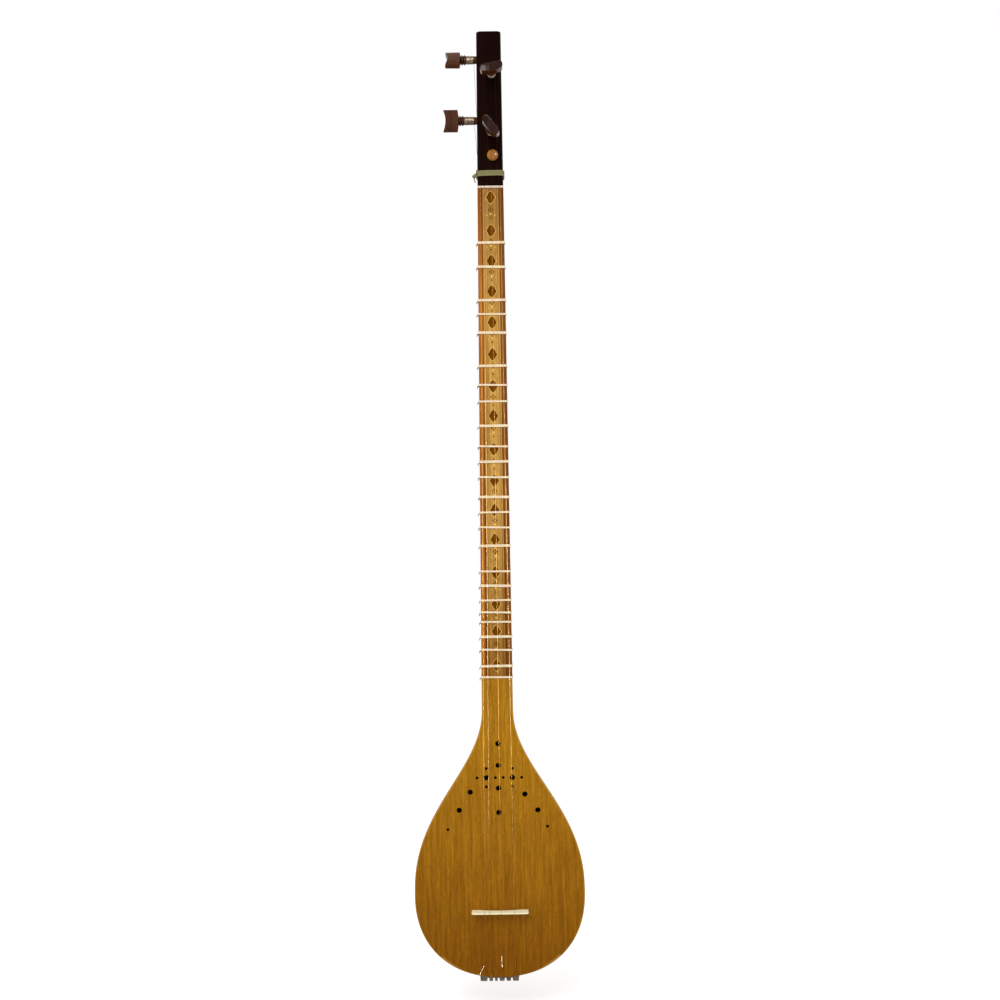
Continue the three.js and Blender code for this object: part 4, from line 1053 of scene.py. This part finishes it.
def wire(name, bright, dull, head_shade=1.0, board_reflection=WHITE):
    """Drawn wire: metal with faint dull patches along it, painted dark above the nut, a painted dim
    reflection, and painted darker and warmer toward the tail, a painted reflection of the board."""
    material, tree = blank_material(name)
    place = add_node(tree, "TexCoord").outputs["Object"]
    patch = noise(tree, place, 300.0, 2.0)
    colour = mixed(tree, between(tree, patch, 0.3, 0.7), linear(bright), linear(dull))
    height = add_node(tree, "SeparateXYZ", {"Vector": place}).outputs["Z"]
    # Painted dim reflection above the nut, then a painted reflection of the board toward the tail.
    colour = multiplied(tree, colour, between(tree, height, *HEAD_SHADE_HEIGHTS, 1.0, head_shade))
    reflecting_board = multiplied(tree, colour, board_reflection)
    colour = mixed(tree, between(tree, height, *BOARD_REFLECTION_HEIGHTS), colour, reflecting_board)
    rough = between(tree, patch, 0.3, 0.7, 0.26, 0.34)
    return surfaced(material, {"Base Color": colour, "Metallic": 1.0, "Roughness": rough})


def peg_shape(peg):
    """A lathe-turned shank with two beads, and a handle that grows from round to a broad oblong."""
    tip = TIP_INSET - peg_span(peg)
    exposed = peg["exposed"]
    neck_end = exposed + 2 * BEAD_LENGTH
    z = np.concatenate([[tip, tip + TIP_BEVEL], np.linspace(tip + 2, exposed, 10),
                        np.linspace(exposed, neck_end, 25)[1:]])
    bead = np.abs(np.sin(np.pi * (z - exposed) / BEAD_LENGTH)) ** 0.8
    radius = np.where(z > exposed, SHANK_NECK + BEAD_HEIGHT * bead, shank_radius(z))
    radius[0] -= TIP_BEVEL
    shank = turned(stack(radius, z), 64)
    bend = np.linspace(0, np.pi / 2, 6)
    rise = np.concatenate([
        np.linspace(0.15, HANDLE_SHOULDER, 6), HANDLE_SHOULDER + HANDLE_CORNER * np.sin(bend)[1:],
        np.linspace(2.4, HANDLE_LENGTH, 14),
    ])
    half = np.interp(rise, [0, HANDLE_SHOULDER], [SHANK_NECK, HANDLE_HALF_WIDTH - HANDLE_CORNER])
    past = np.clip((rise - HANDLE_SHOULDER) / HANDLE_CORNER, 0, 1)
    half = half + HANDLE_CORNER * np.sqrt(1 - (1 - past) ** 2)
    t = (rise / HANDLE_LENGTH)[:, None]
    spread = np.clip(rise / HANDLE_SHOULDER, 0, 1)[:, None]
    thick = SHANK_NECK + (HANDLE_HALF_THICKNESS - SHANK_NECK) * spread - HANDLE_THINNING * t ** 2
    power = 2 / (2 + HANDLE_SQUARENESS * spread)
    x, y = [size * np.sign(v) * np.abs(v) ** power for size, v in zip((half[:, None], thick), disc(1, 64).T)]
    sag = HANDLE_HOLLOW * (1 - (x / HANDLE_HALF_WIDTH) ** 2)
    handle = stack(x, y, neck_end + HANDLE_LENGTH * t - sag * t ** 5)
    closing = []
    for scale, drop in HANDLE_CLOSING:
        x, y = (handle[-1, :, :2] * scale).T
        sag = HANDLE_HOLLOW * (1 - (x / HANDLE_HALF_WIDTH) ** 2)
        closing.append(stack(x, y, neck_end + HANDLE_LENGTH - sag - drop))
    handle[-1, :, 2] -= HANDLE_RIM
    return np.concatenate([shank, handle, np.stack(closing)])


# The steel's warm golden tone is a painted reflection of the wood around the strings.
wires = {
    "steel": wire("string_steel", (172, 144, 96), (146, 118, 74), HEAD_SHADE, BOARD_REFLECTION),
    "brass": wire("string_brass", (176, 136, 74), (150, 112, 54), HEAD_SHADE, BOARD_REFLECTION),
    # The bright finish is a painted glint, given to the twists of some strings.
    "bright": wire("string_painted_glint", (255, 236, 196), (240, 214, 168)),
    "wound": wire("string_wound", (204, 186, 166), (166, 146, 124)),
}
for name, peg in PEGS.items():
    start, axes = peg_axes(peg)
    c, s = math.cos(math.radians(peg["turn"])), math.sin(math.radians(peg["turn"]))
    spun = peg_shape(peg) @ np.array([[c, s, 0], [-s, c, 0], [0, 0, 1]])
    new_piece(f"peg_turned_{name}", lofted(start + spun @ axes), f"peg_{name}",
              peg_woods[peg["side"]], [f"peg_{name}"], sharp=50, glints="lamp_high")
    turns = int((peg["exposed"] - WINDING_GAP - WINDING_START) / WINDING_PITCH)
    share = np.linspace(0, turns, turns * 32 + 1)
    z = WINDING_START + WINDING_PITCH * share
    a = math.radians(peg["leaves"]) - peg["sense"] * 2 * np.pi * share
    out = stack(np.cos(a), np.sin(a), 0)
    coil = out * (shank_radius(z) + STRING_RADIUS * WINDING_BED)[:, None] + stack(0, 0, z)
    winding = tube(start + coil @ axes, out @ axes, STRING_RADIUS)
    new_piece(f"wound_{name}", winding, f"peg_{name}", wires["wound"], [f"winding_{name}"],
              sharp=60, glints="lamp_high")


# The strings: drawn wire from each peg, under the cord on the head, over the nut and the bridge to the
# tail, where each ends in a twisted loop that is hooked over a tooth of the comb.
BINDING_HEIGHT = 737.6
BINDING_REACH = 3.2
ABOVE_HEAD = 0.05
LEAVES_STRAIGHT = 1.5
PAST_BRIDGE = 3.0
FORK_TO_TOOTH = 0.8
FORK_DEPTH = -1.6
TWISTS = 9
TWIST_LENGTH = 11.5
LOOP_ABOVE_EDGE = 0.9
LOOP_BELOW_EDGE = 1.1
LOOP_FOOT = -1.6
COMB_BACK = 10.3

# In string radii: how far beside the winding's first turn and above the shank a string leaves its peg, how
# wide its twist coils, and how thick the twisted pair is.
LEAVES_BESIDE = 2.1
LEAVES_ABOVE = 1.05
TWIST_COIL = 2.6
TWIST_WIRE = 2.0


def smooth_path(corners, count, bend):
    """A path through corner points with straight runs, rounded at each corner over a short length."""
    corners = np.asarray(corners, dtype=float)
    length = distances(corners)
    total = length[-1]
    at = [np.linspace(max(l - bend, 0), min(l + bend, total), 9) for l in length]
    at = np.unique(np.concatenate([*at, np.linspace(0, total, count)]))
    shifted = [at_length(np.clip(at + o, 0, total), length, corners) for o in (bend / 3, -bend / 3, 0)]
    path = sum(shifted) / 3
    path[0], path[-1] = corners[0], corners[-1]
    return path


def on_head(across, height):
    """A place where a string lies on the front of the head, following its rounded edge."""
    past = max(0.0, abs(across) - head_half_width(height) + HEAD_FRONT_ROUNDING)
    reach = math.sqrt((HEAD_FRONT_ROUNDING + STRING_RADIUS + ABOVE_HEAD) ** 2 - past ** 2)
    return (across, HEAD_FRONT + HEAD_FRONT_ROUNDING - reach, height)


for name, string in STRINGS.items():
    peg = PEGS[string["peg"]]
    start, axes = peg_axes(peg)
    a = math.radians(peg["leaves"])
    beside = WINDING_START - LEAVES_BESIDE * STRING_RADIUS
    radius = shank_radius(beside) + STRING_RADIUS * LEAVES_ABOVE
    leaving = np.array([radius * math.cos(a), radius * math.sin(a), beside])
    going = np.array([-math.sin(a), math.cos(a), 0]) * peg["sense"]
    middle = sum(string["tooth"]) / 2
    fork = (string["bridge"] + (middle - string["bridge"]) * FORK_TO_TOOTH, FORK_DEPTH, string["fork"])
    corners = [
        start + leaving @ axes, start + (leaving + going * LEAVES_STRAIGHT) @ axes,
        on_head(string["binding"], BINDING_HEIGHT + BINDING_REACH),
        on_head((string["binding"] + string["nut"]) / 2, BINDING_HEIGHT - BINDING_REACH),
        (string["nut"], NUT_FACE + NUT_GROOVE - STRING_RADIUS, NUT_HEIGHT),
        (string["bridge"], -BRIDGE_RISE + BRIDGE_GROOVE - STRING_RADIUS, BRIDGE_HEIGHT - PAST_BRIDGE), fork,
    ]
    sides = []
    for x in string["tooth"]:
        edge = tail_height(x, *OUTLINE_TAIL)
        sides.append([(x, -STRING_RADIUS - 0.1, edge + LOOP_ABOVE_EDGE), (x, 0.6, edge - LOOP_BELOW_EDGE),
                      (x, COMB_BACK, LOOP_FOOT)])
    loop = [fork, *sides[0], (middle, COMB_BACK + 0.3, LOOP_FOOT - 0.6), *sides[1][::-1], fork]
    leg = np.array(corners[-2] if string["twist_up"] else (sides[0][0][0], -0.4, sides[0][0][2])) - fork
    leg = leg * min(1.0, TWIST_LENGTH / np.linalg.norm(leg))
    t = np.linspace(0, 1, TWISTS * 14)
    around = 2 * np.pi * TWISTS * t
    coil = stack(np.cos(around), np.sin(around), 0) * TWIST_COIL * STRING_RADIUS
    twist = tube(fork + leg * t[:, None] + coil, (0.1, 0.2, 1.0), STRING_RADIUS * TWIST_WIRE, 6)
    run = tube(smooth_path(corners, 160, 1.2), (1.0, 0.02, 0.01), STRING_RADIUS)
    looped = tube(smooth_path(loop, 90, 0.8), (0.15, 0.1, 1.0), STRING_RADIUS)
    new_piece(f"string_wire_{name}", joined([run, looped]), "instrument", wires[peg["wire"]],
              [f"string_{name}"], sharp=60, glints="lamp_low")
    # A twist marked bright takes the bright finish, a painted glint.
    new_piece(f"string_twist_{name}", twist, "instrument",
              wires["bright" if string["bright"] else peg["wire"]], sharp=60, glints="lamp_low")


# The cord on the head: a few turns of waxed olive cord round the head, which hold the strings down close
# behind the nut, knotted at the left with its end hanging.
CORD_RADIUS = 0.63
CORD_TURNS = 4
CORD_MIDDLE = 738.3
CORD_OFF_HEAD = 0.03
CORD_OFF_STRINGS = 0.1
CORD_KNOT_PLACE = (-2.3, 4.5, -1.6)
CORD_KNOT = (2.5, 0.95, 0.4)
CORD_END_RADIUS = 0.5355
CORD_END = np.array([0.5, -0.8, -6.4])
CORD_END_BOW = np.array([-0.8, 0.2, 0])


def cord_finish():
    """Waxed twisted cord: olive beige strands with painted shade in the hollows between them."""
    material, tree = blank_material("binding_cord")
    place = add_node(tree, "TexCoord").outputs["Object"]
    strand = strands(tree, place, 330.0, 1.5)
    fuzz = between(tree, noise(tree, place, 900.0, 3.0), 0.4, 0.7, 0, 0.5)
    colour = mixed(tree, between(tree, strand, 0.1, 0.7), linear((94, 87, 48)), linear((146, 138, 86)))
    colour = mixed(tree, fuzz, colour, linear((164, 154, 110)))
    return surfaced(material, {
        "Base Color": colour, "Roughness": 0.7, "Sheen Weight": 0.15,
        "Normal": bumped(tree, strand, 0.6, 0.00012),
    })


half = head_half_width(BINDING_HEIGHT)
around = head_section(half, CORD_RADIUS + CORD_OFF_HEAD, CORD_RADIUS + 2 * STRING_RADIUS + CORD_OFF_STRINGS)
around = np.concatenate([around, around[:1]])
length = distances(around)
share = np.linspace(0.5, CORD_TURNS + 0.5, CORD_TURNS * 72)
x, y = at_length((share % 1) * length[-1], length, around).T
level = CORD_MIDDLE + CORD_RADIUS * 2 * (share - 0.5 - CORD_TURNS / 2)
tie = np.array([-half, 0, BINDING_HEIGHT]) + CORD_KNOT_PLACE
t = np.linspace(0, 1, 12)[:, None]
hanging = tie + CORD_END * t + CORD_END_BOW * np.sin(np.pi * t)
cord = joined([
    tube(stack(x, y, level), unit(stack(x, y - HEAD_MIDDLE, 0)), CORD_RADIUS, 10),
    knot(tie, *CORD_KNOT), tube(hanging, (1.0, 0.3, 0.1), CORD_END_RADIUS),
])
new_piece("head_cord", cord, "instrument", cord_finish(), ["string_binding"], sharp=60)


# The guide pin: a small turned pin with a domed golden head, pushed into the front of the head. The
# strings of the two front pegs run past its shank.
PIN_HEAD_RADIUS = 5.2
PIN_HEAD_RISE = 3.6
PIN_RIM = 0.7
PIN_UNDER = 1.1

pin_profile = [
    (0.3, -PIN_DEPTH), (PIN_SHANK, -PIN_DEPTH + 0.6), (PIN_SHANK, PIN_UNDER - 0.1),
    (PIN_SHANK + 0.5, PIN_UNDER), (PIN_HEAD_RADIUS - 0.5, PIN_UNDER + 0.15),
]
for t in np.linspace(0, np.pi / 2, 12)[:-1]:
    rise = PIN_RIM + (PIN_HEAD_RISE - PIN_RIM) * math.sin(t)
    pin_profile.append((PIN_HEAD_RADIUS * math.cos(t) ** 0.8, PIN_UNDER + rise))
pin_profile.append((0.1, PIN_UNDER + PIN_HEAD_RISE))
pin_wood = wood("pin_golden_wood", (176, 112, 28), (142, 86, 18), (84, 46, 12), bands=500.0, rough=0.24,
                level=0.4)
pin = lofted(pin_start + turned(pin_profile) @ OUT_OF_FRONT)
new_piece("pin_turned", pin, "instrument", pin_wood, ["guide_pin"], sharp=50, glints="lamp_high")


# The comb: a small block of grey-brown horn let in under the tail edge of the soundboard, shaped to the
# bowl, with teeth that the string loops are hooked over.
COMB_ENDS = (-18.9, 16.5)
COMB_REACH = 4.4
COMB_THICKNESS = 7.0
COMB_GAP = 0.1
COMB_OVERLAP = 0.15
COMB_NOTCHES = (-11.6, -6.4, -2.2, 4.2, 10.0)
COMB_NOTCH_HALF = 0.75
COMB_NOTCH_ROOT = -1.3
COMB_TOOTH_EASE = 0.35
COMB_END_EASE = 0.8
COMB_CORNERS = ((0.05, 0.5), (0.6, 0.0))


def horn():
    """Polished horn: grey-brown with darker drifting streaks."""
    material, tree = blank_material("comb_horn")
    streak = noise(tree, add_node(tree, "TexCoord").outputs["Object"], (90, 90, 420), 4.0, 0.8)
    colour = mixed(tree, between(tree, streak, 0.35, 0.65), linear((126, 112, 96)), linear((82, 70, 58)))
    return surfaced(material, {
        "Base Color": colour, "Roughness": between(tree, streak, 0.2, 0.8, 0.3, 0.5),
        "Normal": bumped(tree, streak, 0.3, 0.0001),
    })


def comb_shape():
    """A block whose upper side lies along the bowl and whose lower edge dips up into a notch between
    teeth. Each section across the block has its corners eased."""
    notch_edges = np.array([-1, -1, 1, 1]) * COMB_NOTCH_HALF + np.array([-1, 0, 0, 1]) * COMB_TOOTH_EASE
    x = np.concatenate([np.linspace(*COMB_ENDS, 90)] + [notch + notch_edges for notch in COMB_NOTCHES])
    x = np.unique(x)
    gap = np.min(np.abs(x[:, None] - np.array(COMB_NOTCHES)), axis=1) - COMB_NOTCH_HALF
    tooth = np.sqrt(np.clip(gap / COMB_TOOTH_EASE, 0, 1))
    end = np.sqrt(np.clip(np.minimum(x - COMB_ENDS[0], COMB_ENDS[1] - x) / COMB_END_EASE, 0, 1))
    low = COMB_NOTCH_ROOT - 0.25 - (COMB_REACH + COMB_NOTCH_ROOT - 0.25) * tooth + COMB_END_EASE * (1 - end)
    near = RIM_DEPTH + COMB_GAP
    far = near + COMB_THICKNESS
    depths = np.linspace(near, far, 9)
    rise = tail_height(depths - RIM_DEPTH, *PROFILE_TAIL)
    upper = tail_height(x, *OUTLINE_TAIL)[:, None] + rise + COMB_OVERLAP
    corners = [(far - inset, up) for inset, up in COMB_CORNERS]
    corners += [(near + inset, up) for inset, up in COMB_CORNERS[::-1]]
    back, up = np.array(corners).T
    rings = []
    for place, lowest, over in zip(x, low, upper):
        lowest = min(lowest, over.min() - 0.3)
        rings.append(np.concatenate([stack(place, depths, over), stack(place, back, lowest + up)]))
    return lofted(np.stack(rings))


new_piece("tail_comb", comb_shape(), "instrument", horn(), ["string_comb"], sharp=40)
